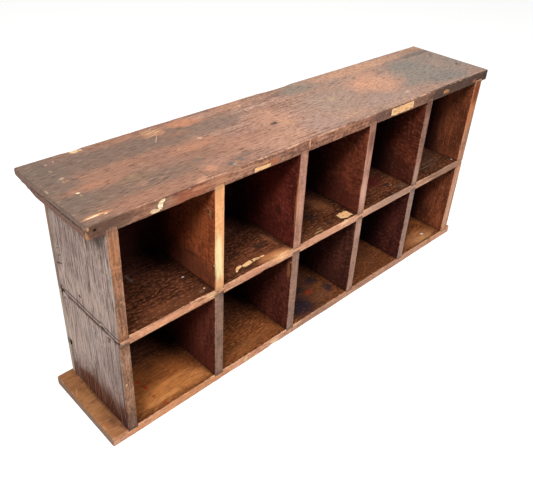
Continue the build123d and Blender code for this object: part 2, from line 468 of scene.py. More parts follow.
# Arrises: points past a plane across each corner go back to it, deeper where it is worn or chipped
def shaveArrises(board, shape, seed):
    arrises = (("frontLow", 0, 0), ("rearLow", 1, 0), ("rearHigh", 1, 1), ("frontHigh", 0, 1))
    for count, (key, atRear, atHigh) in enumerate(arrises):
        along = rippleOf(seed + 11 * count, count=6, shortest=5, longest=90)
        rough = rippleOf(seed + 11 * count + 5, count=4, shortest=1.5, longest=7)
        signV, signW = 2 * atRear - 1, 2 * atHigh - 1
        cornerV = board.high[1] if atRear else board.low[1]
        housing = pressed(shape, "high" if atHigh else "low", board.u, cornerV)
        cornerW = (board.high[2] if atHigh else board.low[2]) - signW * housing
        depth = shape["worn"] * (0.45 + 0.75 * np.clip(along(board.u), 0, 1))
        for chip in shape["chips"]:
            if chip["arris"] == key:
                fromChip = (board.u - chip["at"] - bodyCorner[board.order[0]]) / chip["length"]
                ragged = 1 + 0.22 * rough(board.u + 0.7 * board.v)
                bite = chip["depth"] * np.sqrt(np.clip(1 - fromChip ** 2, 0, 1))
                depth = np.maximum(depth, bite * ragged)
        over = ((board.v - cornerV) * signV + (board.w - cornerW) * signW) / math.sqrt(2) + depth
        over = np.maximum(over, 0)
        board.v = board.v - over * signV / math.sqrt(2)
        board.w = board.w - over * signW / math.sqrt(2)
        board.shaved = np.maximum(board.shaved, over)


# Corners broken off along a plane, with a splintered face
def breakCorners(board, shape, seed):
    for cut in shape["cuts"]:
        normal = np.array(cut["normal"]) / np.linalg.norm(cut["normal"])
        ripple = rippleOf(seed + 71, count=6, shortest=2.0, longest=24)
        splinter = ripple(board.v + 0.25 * board.u) + 0.6 * ripple(board.u * 0.35 - board.w)
        parts = (board.u, board.v, board.w)
        past = sum((part - at) * n for part, at, n in zip(parts, cut["point"], normal))
        over = np.where(past > 0, np.maximum(past + cut["rough"] * splinter, 0), 0)
        board.u, board.v, board.w = (part - over * n for part, n in zip(parts, normal))
        board.shaved = np.maximum(board.shaved, over)


# Gouges: points near a centre move along one direction, most at the middle
def pushGouges(board, shape):
    for gouge in shape["gouges"]:
        centre = (np.array(gouge["at"]) + bodyCorner)[board.order]
        push = np.array(gouge["push"])[board.order]
        parts = np.array([board.u, board.v, board.w])
        near = ((parts - centre[:, None, None]) ** 2).sum(axis=0) / gouge["radius"] ** 2
        share = np.clip(1 - near, 0, 1)
        board.u, board.v, board.w = parts + share * push[:, None, None]
        board.shaved = np.maximum(board.shaved, share)


# Crack along the middle line of the low end, wavering in depth
def openCracks(board, shape, seed):
    for crack in shape["cracks"]:
        atEnd = (board.cap > 0.9) & (board.u < board.low[0] + 1)
        start, stop = np.array(crack["span"]) + bodyCorner[1]
        fade = crack["fade"]
        inSpan = np.clip((board.v - start) / fade, 0, 1) * np.clip((stop - board.v) / fade, 0, 1)
        gap = np.exp(-((board.w - board.middle[1]) / crack["width"]) ** 2)
        ragged = 0.6 + 0.4 * rippleOf(seed + 91, count=4, shortest=8, longest=60)(board.v)
        board.u = board.u + crack["depth"] * gap * ragged * inSpan * atEnd


# Painted contact shade beside joints: strongest against an upright, and on an upright against the board that
# houses it
def seamShare(board, shape):
    if shape["seat"]:
        apart = np.minimum(board.u - board.low[0], board.high[0] - board.u) - shape["seat"]
        return np.exp(-np.maximum(apart, 0) / seamFade)
    share = 0 * board.u
    for groove in shape["grooves"]:
        facing = board.normalW * (1 if groove["face"] == "high" else -1)
        apart = np.maximum(groove["span"][0] - board.u, board.u - groove["span"][1])
        near = np.exp(-np.maximum(apart, 0) / seamFade) * (facing > 0.9) * (board.v < groove["reach"])
        share = np.maximum(share, near)
    return share


# From 0 to 1 as a face turns towards one direction
def facingShare(normal):
    return np.clip((normal - 0.45) / 0.35, 0, 1)


# What the finish reads at each point: worn edges, front edges, faces inside the openings, end grain and
# painted contact shade beside joints; inside in a shape says which of its low and high faces lie in the
# openings
def finishValues(board, shape, seed):
    along = rippleOf(seed + 3, count=7, shortest=4, longest=120)(board.u + 0.3 * board.v)
    wear = np.exp(-board.toArris / shape["wearReach"]) * (0.72 + 0.28 * along)
    wear = wear + 0.35 * np.clip(board.shaved / 0.6, 0, 1)
    front = facingShare(-board.normalV) * (1 - board.cap) * (shape["grain"] != "back")
    within = (board.u > bodySpan[0]) & (board.u < bodySpan[1]) | (shape["grain"] == "z")
    lowSide = facingShare(-board.normalW) * shape["inside"][0]
    highSide = facingShare(board.normalW) * shape["inside"][1]
    inside = (lowSide + highSide) * within * (1 - board.cap)
    seam = seamShare(board, shape) * np.clip(inside + 0.5 * front, 0, 1)
    return dict(wear=wear, front=front, inside=inside, cap=board.cap, seam=seam)


# Board with its grain along u: the section carried along u, then pressed, bent, pitted, worn and broken
def boardPiece(name, node, shape, seed):
    shape = dict(shapeDefaults, **shape)
    board = boardGrid(node, shape)
    pressHousings(board, shape)
    bendFaces(board, shape, seed)
    sinkPits(board, shape)
    shaveArrises(board, shape, seed)
    breakCorners(board, shape, seed)
    pushGouges(board, shape)
    openCracks(board, shape, seed)
    points = np.empty(board.u.shape + (3,))
    for axis, part in zip(board.order, (board.u, board.v, board.w)):
        points[..., axis] = part
    return gridPiece(name, points[None], finishValues(board, shape, seed))


# Faces that carry marks: the two axes along the face and its level on the third
markFaces = dict(
    top=(0, 1, topHigh[2]), shelf=(0, 1, shelfTop), base=(0, 1, baseTop),
    front=(0, 2, 0.0), left=(1, 2, 0.0), leftEnd=(1, 2, topLow[0] - bodyLow[0]),
    rightEnd=(1, 2, topHigh[0] - bodyLow[0]), back=(0, 2, boxOf("upper_back_board")[1][1] - bodyLow[1]),
)
for n in range(dividerCount):  # the dividers' left faces
    markFaces[f"divider{n + 1}"] = (1, 2, boxOf(f"upper_divider_{n + 1}")[0][0] - bodyLow[0])
markDeep = 3.0  # half length of a mark through its face


# Marks: stains, rubbed places and scratches, each an ellipse on one face with a ragged outline. A row gives
# the place in millimetres from the body's front left corner on the table, the half lengths, the colour, its
# strength, the soft share of the outline and a turn in degrees
def markOn(face, at, size, colour, strength=0.8, soft=0.35, turn=0.0):
    first, second, level = markFaces[face]
    across = 3 - first - second
    place, spread, angle = np.zeros(3), np.full(3, markDeep), np.zeros(3)
    place[[first, second, across]] = (*at, level)
    spread[[first, second]] = size
    angle[across] = math.radians(turn)
    return dict(at=place + bodyCorner, size=spread, turn=angle, colour=colour, strength=strength, soft=soft)


def marksOn(face, *rows):
    return [markOn(face, *row) for row in rows]


def raggedOf(tree, coords, scale, reach):
    ragged = noiseOf(tree, coords, (scale,) * 3, detail=5.0, rough=0.65, output="Color")
    return vectorOf(tree, "MULTIPLY_ADD", ragged, (reach,) * 3, (-reach / 2,) * 3)


# How far a point is from a mark's middle, where 1 is its outline
def markReach(tree, coords, ragged, mark):
    at, size = mark["at"] * millimetre, mark["size"] * millimetre
    if mark["turn"].any():
        place = {0: coords, 1: at, 2: mark["turn"], 3: size}
        local = addNode(tree, "ShaderNodeMapping", place, vector_type="TEXTURE").outputs[0]
        local, middle = vectorOf(tree, "ADD", local, ragged), (0, 0, 0)
    else:
        local, middle = vectorOf(tree, "MULTIPLY_ADD", coords, 1 / size, ragged), at / size
    ends = {0: local, 1: middle}
    return addNode(tree, "ShaderNodeVectorMath", ends, operation="DISTANCE").outputs["Value"]


# Ragged outlines by the size of the mark: up to which half length, noise scale and reach
raggedSteps = ((11.0, 170.0, 1.7), (26.0, 60.0, 1.4), (math.inf, 19.0, 1.1))


def markedOver(tree, coords, colour, marks):
    outlines = [raggedOf(tree, coords, scale, reach) for upTo, scale, reach in raggedSteps] if marks else []
    for mark in marks:
        step = sum(mark["size"].max() > upTo for upTo, scale, reach in raggedSteps)
        far = markReach(tree, coords, outlines[step], mark)
        share = rangeOf(tree, far, 1.0, 1.0 - mark["soft"], 0.0, mark["strength"])
        colour = mixOf(tree, share, colour, mark["colour"])
    return colour


# Finish of a board: scales are per metre along and across the grain, mixes weigh streaks, clouds, lines,
# mottle and cross grain, and spans are in millimetres from the body's front left corner
woodDefaults = dict(
    streaks=(34.0, 720.0), contrast=2.6, innerContrast=3.0,
    outerMix=(0.36, 0.34, 0.06, 0.24, 0.0), innerMix=(0.28, 0.36, 0.06, 0.30, 0.0),
    frontMix=(0.20, 0.36, 0.08, 0.36, 0.0), frontContrast=3.2, mottleScale=(240.0, 400.0),
    poreScale=(90.0, 900.0), pores=0.55, innerPores=0.45, frontPores=0.4, poreColour=(0.05, 0.022, 0.015),
    flecks=0.25, speckles=0.1, openGrain=0.0, openSpan=(120.0, 480.0),
    grey=0.2, greyColour=(0.21, 0.16, 0.135), warm=0.25, warmColour=(0.46, 0.20, 0.09),
    # deep and deepSpan, with the colour after them, paint shade that darkens the inside towards the back of
    # the openings; seams and seamColour paint contact shade beside the joints
    deep=0.7, deepSpan=(25.0, 102.0), paintedShadeColour=(0.009, 0.003, 0.006), seams=0.75,
    seamColour=(0.018, 0.008, 0.006), capColour=(0.10, 0.05, 0.033), capShare=0.55,
    worn=(0.66, 0.40, 0.22), wornDark=(0.42, 0.21, 0.11), wornFrom=1.55, wornShare=0.75, rubbed=0.3,
    rough=0.42, gleam=0.25, innerGleam=0.06, bump=0.7, bumpDeep=0.0007,
)


# Noise of one board, stretched along its grain
def grainNoise(tree, coords, grain, seed, look):
    offset = (seed * 1.37, seed * 2.11, seed * 0.73)

    def stretched(scale, detail, rough):
        along, across = scale
        scale = (along, across, across) if grain == "x" else (across, across, along)
        return noiseOf(tree, coords, scale, offset, detail, rough)

    return SimpleNamespace(
        streaks=stretched(look["streaks"], detail=4.0, rough=0.65),
        clouds=stretched((15.0, 36.0), detail=5.0, rough=0.62),
        lines=stretched((6.0, 420.0), detail=4.0, rough=0.65),
        mottle=stretched(look["mottleScale"], detail=4.0, rough=0.68),
        pores=stretched(look["poreScale"], detail=2.0, rough=0.6),
        blotch=stretched((8.0, 17.0), detail=4.0, rough=0.6),
        cross=stretched((620.0, 60.0), detail=3.0, rough=0.6),
    )


# Stain: three colour ramps dress the outside, the inside and the front edge, then grey weathering and rubbed
# warm patches lie on the outside
def stainOf(tree, at, noise, look):
    tones = (noise.streaks, noise.clouds, noise.lines, noise.mottle, noise.cross)

    def toned(colours, mix, contrast):
        tone = weighted(tree, zip(tones, mix))
        return rampOf(tree, mathOf(tree, "MULTIPLY_ADD", tone, contrast, 0.5 - 0.5 * contrast), colours)

    outer = toned(look["outer"], look["outerMix"], look["contrast"])
    inner = toned(look["inner"], look["innerMix"], look["innerContrast"])
    front = toned(look["front"], look["frontMix"], look["frontContrast"])
    colour = mixOf(tree, at.front, mixOf(tree, at.inside, outer, inner), front)
    greyed = productOf(tree, rangeOf(tree, noise.blotch, 0.48, 0.68), at.outside, look["grey"])
    colour = mixOf(tree, greyed, colour, look["greyColour"])
    patches = weighted(tree, ((noise.blotch, -0.5), (noise.streaks, 1.0)))
    warmed = mathOf(tree, "MULTIPLY", rangeOf(tree, patches, 0.24, 0.42, 0.0, look["warm"]), at.outside)
    return mixOf(tree, warmed, colour, look["warmColour"])


# Front edges rubbed bare in lengths along the grain, and end grain
def rubbedOver(tree, at, noise, look, colour, bare):
    lengths = weighted(tree, ((noise.clouds, 0.6), (noise.streaks, 0.5)))
    lengths = mathOf(tree, "MULTIPLY", rangeOf(tree, lengths, 0.58, 0.70, 0.0, look["rubbed"]), at.front)
    colour = mixOf(tree, lengths, colour, bare)
    return mixOf(tree, mathOf(tree, "MULTIPLY", at.cap, look["capShare"]), colour, look["capColour"])


# Grain that stands open through the stains, more towards the right
def openedOver(tree, coords, noise, look, colour):
    across = addNode(tree, "ShaderNodeSeparateXYZ", {0: coords}).outputs["X"]
    openFrom, openTo = ((bodyLow[0] + part) * millimetre for part in look["openSpan"])
    opened = rangeOf(tree, across, openFrom, openTo, 0.0, look["openGrain"])
    opened = mathOf(tree, "MULTIPLY_ADD", mathOf(tree, "SUBTRACT", noise.mottle, 0.5), opened, 1.0)
    return vectorOf(tree, "MULTIPLY", colour, opened)


# Dark pores and pale flecks along the grain
def poresOver(tree, at, noise, look, colour):
    share = mathOf(tree, "MULTIPLY_ADD", at.inside, look["innerPores"] - look["pores"], look["pores"])
    colour = mixOf(tree, productOf(tree, noise.pits, share, at.offFront), colour, look["poreColour"])
    flecks = rangeOf(tree, noise.pores, 0.44, 0.32, 0.0, look["flecks"])
    colour = mixOf(tree, productOf(tree, flecks, at.outside, at.offFront), colour, look["worn"])
    speckles = productOf(tree, rangeOf(tree, noise.mottle, 0.57, 0.72), at.inside, look["speckles"])
    return mixOf(tree, speckles, colour, look["worn"])


# Painted shade: darker towards the back of the openings, and painted contact shade beside the joints
def paintedShadeOver(tree, coords, at, noise, look, colour):
    depth = addNode(tree, "ShaderNodeSeparateXYZ", {0: coords}).outputs["Y"]
    darkFrom, darkTo = ((bodyLow[1] + part) * millimetre for part in look["deepSpan"])
    deep = rangeOf(tree, depth, darkFrom, darkTo, 0.0, look["deep"])
    colour = mixOf(tree, mathOf(tree, "MULTIPLY", deep, at.inside), colour, look["paintedShadeColour"])
    # painted contact shade beside the joints, broken up by mottle
    jointShade = productOf(tree, at.seam, rangeOf(tree, noise.mottle, 0.30, 0.52, 0.35, 1.0), look["seams"])
    return mixOf(tree, jointShade, colour, look["seamColour"])


# Worn arrises: bare wood where the edge is rubbed, broken up by mottle
def wornOver(tree, at, noise, look, colour, bare):
    rubbed = weighted(tree, ((at.wear, 1.0), (noise.mottle, 1.3), (noise.clouds, 0.7)))
    rubbed = rangeOf(tree, rubbed, look["wornFrom"], look["wornFrom"] + 0.3, 0.0, look["wornShare"])
    return mixOf(tree, rubbed, colour, bare)


# Wood: stain, rubbed lengths, marks, open grain, pores, painted shade and worn arrises, each laid over the
# one before
def woodMaterial(name, grain, seed, look, marks=()):
    look = dict(woodDefaults, **look)
    material, tree, shader, coords = newMaterial(name)
    keys = ("wear", "front", "inside", "cap", "seam")
    at = SimpleNamespace(**{key: attributeOf(tree, key) for key in keys})
    at.outside = mathOf(tree, "SUBTRACT", 1.0, at.inside, clamp=True)
    at.offFront = mathOf(tree, "MULTIPLY_ADD", at.front, look["frontPores"] - 1.0, 1.0)
    noise = grainNoise(tree, coords, grain, seed, look)
    noise.pits = rangeOf(tree, noise.pores, 0.53, 0.68)
    bare = mixOf(tree, rangeOf(tree, noise.streaks, 0.35, 0.65), look["wornDark"], look["worn"])
    colour = stainOf(tree, at, noise, look)
    colour = rubbedOver(tree, at, noise, look, colour, bare)
    colour = markedOver(tree, coords, colour, marks)
    if look["openGrain"]:
        colour = openedOver(tree, coords, noise, look, colour)
    colour = poresOver(tree, at, noise, look, colour)
    colour = paintedShadeOver(tree, coords, at, noise, look, colour)
    colour = wornOver(tree, at, noise, look, colour, bare)
    gleam = mathOf(tree, "MULTIPLY_ADD", at.inside, look["innerGleam"] - look["gleam"], look["gleam"])
    tree.links.new(mathOf(tree, "MULTIPLY", gleam, at.offFront), shader.inputs["Specular IOR Level"])
    rough = weighted(tree, ((noise.mottle, 0.35), (noise.pits, 0.2)))
    rough = mathOf(tree, "ADD", rough, look["rough"], clamp=True)
    height = weighted(tree, ((noise.streaks, 0.7), (noise.pits, -0.8), (noise.mottle, 0.45)))
    finishShader(tree, shader, colour, rough, height, look["bump"], look["bumpDeep"])
    return material


# Nail places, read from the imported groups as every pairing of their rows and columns
def spansOf(values, gap):
    values = np.sort(values)
    groups = np.split(values, np.where(np.diff(values) > gap)[0] + 1)
    return [(group[0], group[-1]) for group in groups]


def nodePoints(node):
    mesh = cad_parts[node].data
    points = np.empty(len(mesh.vertices) * 3, dtype=np.float32)
    mesh.vertices.foreach_get("co", points)
    return points.reshape(-1, 3) / millimetre


def nailPlaces(node, axes, gap=6.0):
    points = nodePoints(node)
    middles = [[(a + b) / 2 for a, b in spansOf(points[:, axis], gap)] for axis in axes]
    return [(a, b) for a in middles[0] for b in middles[1]]


def pitsOf(node, axes, face, sizes, sunk):
    return [dict(face=face, at=place, radius=sizes["hole"], depth=sunk) for place in nailPlaces(node, axes)]


nailSizes = dict(hole=2.2, head=2.1, headDeep=1.0, shank=1.1, point=4.0)
bradSizes = dict(hole=1.7, head=1.6, headDeep=0.8, shank=0.8, point=3.0)
uppers, lowers = uprightsOf("upper"), uprightsOf("lower")
clearance = 0.15  # round an upright in its housing


def groovesOf(face, board, uprights):
    boardLow, boardHigh = boxOf(board)
    grooves = []
    for upright in uprights:
        low, high = boxOf(upright)
        depth = high[2] - boardLow[2] if face == "low" else boardHigh[2] - low[2]
        span = (low[0] - clearance, high[0] + clearance)
        grooves.append(dict(face=face, span=span, reach=backInside + clearance, depth=depth))
    return grooves


# Three shades of one colour, for a ramp from its darker to its lighter streaks
def shadesOf(middle, dark=0.6, light=1.4):
    return tuple(tuple(part * share for part in middle) for share in (dark, 1.0, light))


# Colours by name, shared by the finishes and the marks
bareWood = (0.72, 0.40, 0.19)
creamWood = (0.92, 0.64, 0.36)
rubbedOrange = (0.75, 0.33, 0.13)
brickOrange = (0.42, 0.185, 0.105)
palePink = (0.52, 0.265, 0.165)
salmon = (0.58, 0.28, 0.165)
scratchPale = (0.64, 0.43, 0.31)
# black of soot, also used as painted shade in the split at the top's left end
sootAndShadeBlack = (0.018, 0.011, 0.010)
blueBlack = (0.016, 0.012, 0.020)
slate = (0.13, 0.115, 0.11)
umber = (0.150, 0.106, 0.081)
coolBrown = (0.165, 0.107, 0.079)
rustBrown = (0.285, 0.138, 0.086)
rustStain = (0.060, 0.026, 0.016)
redPaint = (0.36, 0.030, 0.012)
chalkWhite = (0.85, 0.80, 0.72)

# Top board: its left rear corner is broken off below, its left end has split
frontHole = dict(face="front", at=(bodyCorner[0] - 10.2, 279.2), radius=1.9, depth=5.0)
brokenCorner = dict(length=30.0, depth=44.0, height=8.5)
topShape = dict(
    grain="x", arris=1.2, ends=(1.2, 3.2), step=4.0, worn=0.7, bow=0.15, edgeBow=0.3, inside=(1, 0),
    grooves=groovesOf("low", "top_board", uppers),
    pits=pitsOf("top_nails_left", (0, 1), "high", nailSizes, 0.7)
    + pitsOf("top_nails_middle", (0, 1), "high", nailSizes, 0.25)
    + pitsOf("top_nails_right", (0, 1), "high", nailSizes, 1.8) + [frontHole],
    chips=(
        dict(arris="frontLow", at=92, length=7, depth=1.6),
        dict(arris="frontHigh", at=474, length=9, depth=1.7),
        dict(arris="frontHigh", at=232, length=12, depth=1.5),
        dict(arris="frontHigh", at=131, length=8, depth=1.3),
        dict(arris="rearHigh", at=43, length=12, depth=1.4),
        dict(arris="rearHigh", at=330, length=30, depth=1.9),
        dict(arris="rearLow", at=250, length=40, depth=2.2),
    ),
    cuts=(dict(
        point=(topLow[0] + brokenCorner["length"], topHigh[1], topLow[2]), rough=0.9,
        normal=(-1 / brokenCorner["length"], 1 / brokenCorner["depth"], -1 / brokenCorner["height"]),
    ),),
    cracks=(dict(depth=2.5, width=0.6, span=(1, 100), fade=6.0),),
)
topLook = dict(
    outer=((0.12, 0.060, 0.043), (0.29, 0.150, 0.104), (0.43, 0.240, 0.175), (0.62, 0.39, 0.29)),
    inner=shadesOf((0.10, 0.03, 0.016)),
    front=((0.070, 0.028, 0.019), (0.235, 0.100, 0.064), (0.45, 0.225, 0.150)), frontContrast=3.8,
    worn=(0.70, 0.44, 0.28), wornDark=(0.42, 0.22, 0.14), grey=0.2, greyColour=(0.23, 0.16, 0.13),
    outerMix=(0.22, 0.22, 0.32, 0.24, 0.0), contrast=4.4, mottleScale=(260.0, 300.0),
    poreScale=(90.0, 800.0), pores=0.6, openGrain=1.7, rough=0.40, gleam=0.35,
)
topMarks = marksOn(
    "top",
    # the dark left end, its dark bands and the streaks between them
    ((50, 66), (200, 170), rustBrown, 0.75, 0.6),
    ((88, 101), (190, 27), coolBrown, 0.85, 0.6),
    ((40, 37), (112, 24), coolBrown, 0.75, 0.7),
    ((-10, 66), (36, 140), umber, 0.8, 0.6),
    ((14, 116), (70, 24), (0.145, 0.100, 0.078), 0.6, 0.8),
    ((62, 46), (24, 11), (0.25, 0.150, 0.083), 0.6, 0.7),
    ((20, 57), (40, 10), brickOrange, 0.6, 0.8),
    ((60, 76), (44, 10), (0.32, 0.155, 0.094), 0.6, 0.7),
    ((50, 10), (90, 14), (0.34, 0.160, 0.100), 0.65, 0.7),
    ((0, 10.6), (19, 3.6), (0.60, 0.25, 0.11), 0.9, 0.7),
    ((-3, 10.4), (13, 2.0), (0.88, 0.52, 0.26), 0.9, 0.7),
    ((-5, 10.2), (8, 1.2), (1.0, 0.82, 0.55), 0.9, 0.6),
    # rubbed and scratched places at the rear
    ((44, 129.5), (8, 5), creamWood, 0.9, 0.5),
    ((100, 124), (30, 8), (0.36, 0.17, 0.105), 0.7, 0.7),
    ((131, 117), (22, 14), (0.47, 0.215, 0.11), 0.85, 0.7),
    ((126, 112), (10, 0.8), scratchPale, 0.8, 0.6, 8),
    ((133, 116), (12, 0.8), (0.86, 0.56, 0.32), 0.8, 0.6, 8),
    ((128, 119), (11, 0.8), (0.86, 0.56, 0.32), 0.8, 0.6, 8),
    ((137, 122), (10, 0.8), scratchPale, 0.8, 0.6, 8),
    ((124, 124), (9, 0.8), scratchPale, 0.7, 0.6, 8),
    ((125, 102), (0.9, 15), scratchPale, 0.75, 0.6, -38),
    ((132, 124), (0.8, 10), scratchPale, 0.7, 0.6, -38),
    ((172, 119), (34, 13), (0.54, 0.230, 0.122), 0.85, 0.7),
    ((245, 124), (50, 12), (0.46, 0.225, 0.135), 0.7, 0.7),
    # middle
    ((145, 66), (48, 16), brickOrange, 0.65, 0.8),
    ((290, 122), (26, 9), (0.52, 0.290, 0.190), 0.35, 0.9),
    ((152, 64), (28, 9), (0.47, 0.215, 0.128), 0.6, 0.7),
    ((198, 92), (48, 21), (0.240, 0.150, 0.113), 0.75, 0.7),
    ((150, 100), (32, 10), (0.40, 0.170, 0.100), 0.4, 0.9),
    ((264, 66), (48, 46), (0.60, 0.31, 0.20), 0.65, 0.8),
    ((240, 20), (64, 28), (0.56, 0.30, 0.20), 0.65, 0.8),
    ((268, 48), (12, 10), (0.62, 0.33, 0.20), 0.6, 0.8),
    ((253, 55), (8.5, 3.2), sootAndShadeBlack, 0.95, 0.5),
    ((270, 78), (1.2, 11), scratchPale, 0.6, 0.7, -6),
    ((200, 40), (60, 22), (0.46, 0.220, 0.145), 0.6, 0.7),
    ((304, 22), (40, 28), (0.42, 0.265, 0.220), 0.75, 0.7),
    ((140, 22), (46, 16), (0.43, 0.225, 0.160), 0.5, 0.8),
    ((129, 16), (10, 8), salmon, 0.85, 0.6),
    ((109, 4), (13, 5.5), palePink, 0.85, 0.6),
    ((117, 11), (0.8, 13), (0.09, 0.055, 0.04), 0.85, 0.5),
    ((152, 11), (6, 7), slate, 0.8, 0.6),
    ((167, 13), (6, 6), slate, 0.8, 0.6),
    ((154, 7), (3, 4), (0.50, 0.36, 0.26), 0.6, 0.7),
    ((130, 37), (6, 4), slate, 0.7, 0.7),
    ((178, 18), (7, 5), (0.20, 0.14, 0.12), 0.6, 0.7),
    # small pale chips
    ((8, 119.5), (2.0, 1.8), scratchPale, 0.8, 0.6),
    ((17, 121), (1.6, 2.6), scratchPale, 0.6, 0.6, -30),
    ((7, 86.5), (4.6, 3.0), scratchPale, 0.75, 0.8),
    ((9, 79.5), (3.2, 2.2), brickOrange, 0.8, 0.7),
    ((5, 53.5), (2.4, 1.9), (1.0, 0.80, 0.50), 0.85, 0.6),
    ((3, 58), (2.4, 2.2), brickOrange, 0.7, 0.6),
    ((5.5, 15.5), (2.6, 1.8), creamWood, 0.85, 0.5),
    ((6.5, 8.5), (2.2, 1.4), creamWood, 0.8, 0.5),
    ((-15.5, 72), (1.4, 4.5), scratchPale, 0.7, 0.6),
    ((163, 77), (3.4, 3.2), (0.70, 0.42, 0.29), 0.85, 0.6),
    ((130, 68), (5, 1.6), scratchPale, 0.8, 0.7, 15),
    ((257, 118), (2.6, 2.0), creamWood, 0.8, 0.6),
    ((60, 32), (9, 6), (0.42, 0.22, 0.145), 0.6, 0.7),
    # right half: grey and warm patches
    ((490, 66), (230, 170), (0.40, 0.252, 0.190), 0.7, 0.6),
    ((355, 114), (50, 20), (0.235, 0.190, 0.150), 0.85, 0.7),
    ((480, 121), (130, 18), (0.58, 0.312, 0.195), 0.85, 0.7),
    ((360, 60), (66, 44), (0.375, 0.255, 0.198), 0.75, 0.7),
    ((365, 64), (13, 11), (0.47, 0.330, 0.195), 0.75, 0.7),
    ((432, 24), (74, 22), (0.37, 0.250, 0.200), 0.75, 0.7),
    ((352, 17), (38, 15), (0.50, 0.305, 0.205), 0.6, 0.8),
    ((455, 70), (58, 44), (0.62, 0.32, 0.205), 0.85, 0.7),
    ((440, 74), (22, 16), (0.66, 0.325, 0.205), 0.6, 0.8),
    ((408, 100), (24, 2.2), (0.17, 0.125, 0.095), 0.75, 0.7, 14),
    ((447, 96), (8, 3.5), (0.20, 0.135, 0.10), 0.7, 0.7, 20),
    ((497, 90), (22, 8), (0.24, 0.165, 0.12), 0.65, 0.8),
    ((608, 60), (66, 80), (0.240, 0.192, 0.162), 0.85, 0.7),
    ((600, 66), (26, 24), (0.37, 0.235, 0.18), 0.6, 0.8),
    ((545, 54), (62, 52), (0.232, 0.202, 0.170), 0.9, 0.6),
    ((552, 90), (40, 26), (0.210, 0.190, 0.160), 0.85, 0.7),
    ((510, 66), (26, 10), (0.35, 0.255, 0.19), 0.6, 0.8),
    ((565, 22), (56, 26), (0.200, 0.176, 0.152), 0.85, 0.7),
    ((500, 36), (22, 15), (0.235, 0.205, 0.17), 0.75, 0.7),
    ((600, 108), (76, 8), (0.140, 0.112, 0.092), 0.9, 0.7),
    ((641, 66), (5, 100), (0.10, 0.066, 0.050), 0.75, 0.8),
    ((560, 0), (110, 3.0), (0.085, 0.055, 0.042), 0.8, 0.8),
    ((618, 127), (34, 9), (0.50, 0.285, 0.160), 0.85, 0.7),
    ((476, 98), (34, 14), (0.64, 0.300, 0.185), 0.45, 0.9),
    ((617, 122), (22, 12), (0.150, 0.095, 0.070), 0.4, 0.9),
    ((466, 20), (9, 3.2), scratchPale, 0.8, 0.7),
    ((625, 43.5), (5.0, 2.6), sootAndShadeBlack, 0.95, 0.5),
    ((627, 91), (4.5, 1.8), (0.06, 0.04, 0.03), 0.8, 0.6),
) + marksOn(
    "front",
    ((4, 278), (40, 12), (0.110, 0.060, 0.041), 0.8, 0.6),
    ((90, 277), (40, 9), (0.36, 0.115, 0.06), 0.8, 0.7),
    ((130, 279), (16, 9), (0.50, 0.235, 0.13), 0.75, 0.7),
    ((91, 284), (2.2, 1.1), (0.70, 0.52, 0.38), 0.7, 0.7),
    ((186, 279.4), (14, 2.4), (0.52, 0.24, 0.115), 0.8, 0.5),
    ((203, 276.5), (10, 4.2), (0.42, 0.14, 0.065), 0.85, 0.6),
    ((258, 279), (1.2, 9), bareWood, 0.8, 0.5),
    ((320, 282), (22, 4), (0.44, 0.21, 0.13), 0.7, 0.7),
    ((386, 278), (24, 12), (0.130, 0.068, 0.050), 0.75, 0.7),
    ((62, 278), (26, 9), (0.38, 0.215, 0.145), 0.5, 0.8),
    ((76, 284.4), (40, 1.3), (0.090, 0.048, 0.034), 0.6, 0.7),
    ((104, 280), (16, 3.0), (0.60, 0.270, 0.150), 0.75, 0.7),
    ((486, 278), (56, 13), (0.16, 0.080, 0.055), 0.75, 0.7),
    ((578, 278), (106, 18), (0.044, 0.018, 0.011), 0.95, 0.45),
    ((606, 276), (7.0, 4.2), (0.36, 0.120, 0.045), 0.6, 0.8),
    ((532, 276), (11, 5.0), (0.24, 0.09, 0.042), 0.6, 0.6),
    ((638, 279), (13, 11), (0.020, 0.009, 0.006), 0.9, 0.7),
    ((-16.5, 283), (1.4, 2.6), bareWood, 0.8),
) + marksOn(
    "leftEnd",
    ((60, 283), (80, 3.6), (0.25, 0.155, 0.11), 0.6, 0.6),
    ((60, 273.6), (100, 5.2), (0.20, 0.078, 0.046), 0.8, 0.6),
    # painted shade: black along the split in the left end
    ((50, 278.5), (80, 1.1), sootAndShadeBlack, 0.9, 0.5),
    ((2, 275), (2.4, 6), rubbedOrange, 0.75, 0.5),
) + marksOn(
    "rightEnd",
    ((60, 279), (90, 12), (0.070, 0.040, 0.030), 0.9, 0.5),
)

# Base board, stained and scratched, with painted golden light on the front of its floors
baseShape = dict(
    grain="x", arris=1.2, ends=(1.0, 1.0), step=5.0, worn=0.75, bow=0.1, edgeBow=0.3, inside=(0, 1),
    flatLow=True, grooves=groovesOf("high", "base_board", lowers),
    pits=pitsOf("base_nails", (0, 1), "low", nailSizes, 1.1),
    chips=(
        dict(arris="frontLow", at=221, length=9, depth=1.6),
        dict(arris="frontHigh", at=118, length=8, depth=1.2),
    ),
)
baseLook = dict(
    outer=shadesOf((0.36, 0.16, 0.07), 0.45, 1.4), inner=shadesOf((0.150, 0.046, 0.014), 0.45, 1.7),
    front=((0.30, 0.130, 0.078), (0.64, 0.305, 0.188), (0.88, 0.52, 0.35)),
    outerMix=(0.24, 0.26, 0.10, 0.40, 0.0), contrast=4.0,
    innerMix=(0.26, 0.16, 0.12, 0.44, 0.02), innerContrast=6.4,
    streaks=(44.0, 980.0), mottleScale=(200.0, 380.0), pores=0.3, speckles=0.16, grey=0.1,
    worn=(0.76, 0.48, 0.28), capColour=(0.36, 0.25, 0.19), capShare=0.6, gleam=0.2, rough=0.5,
)
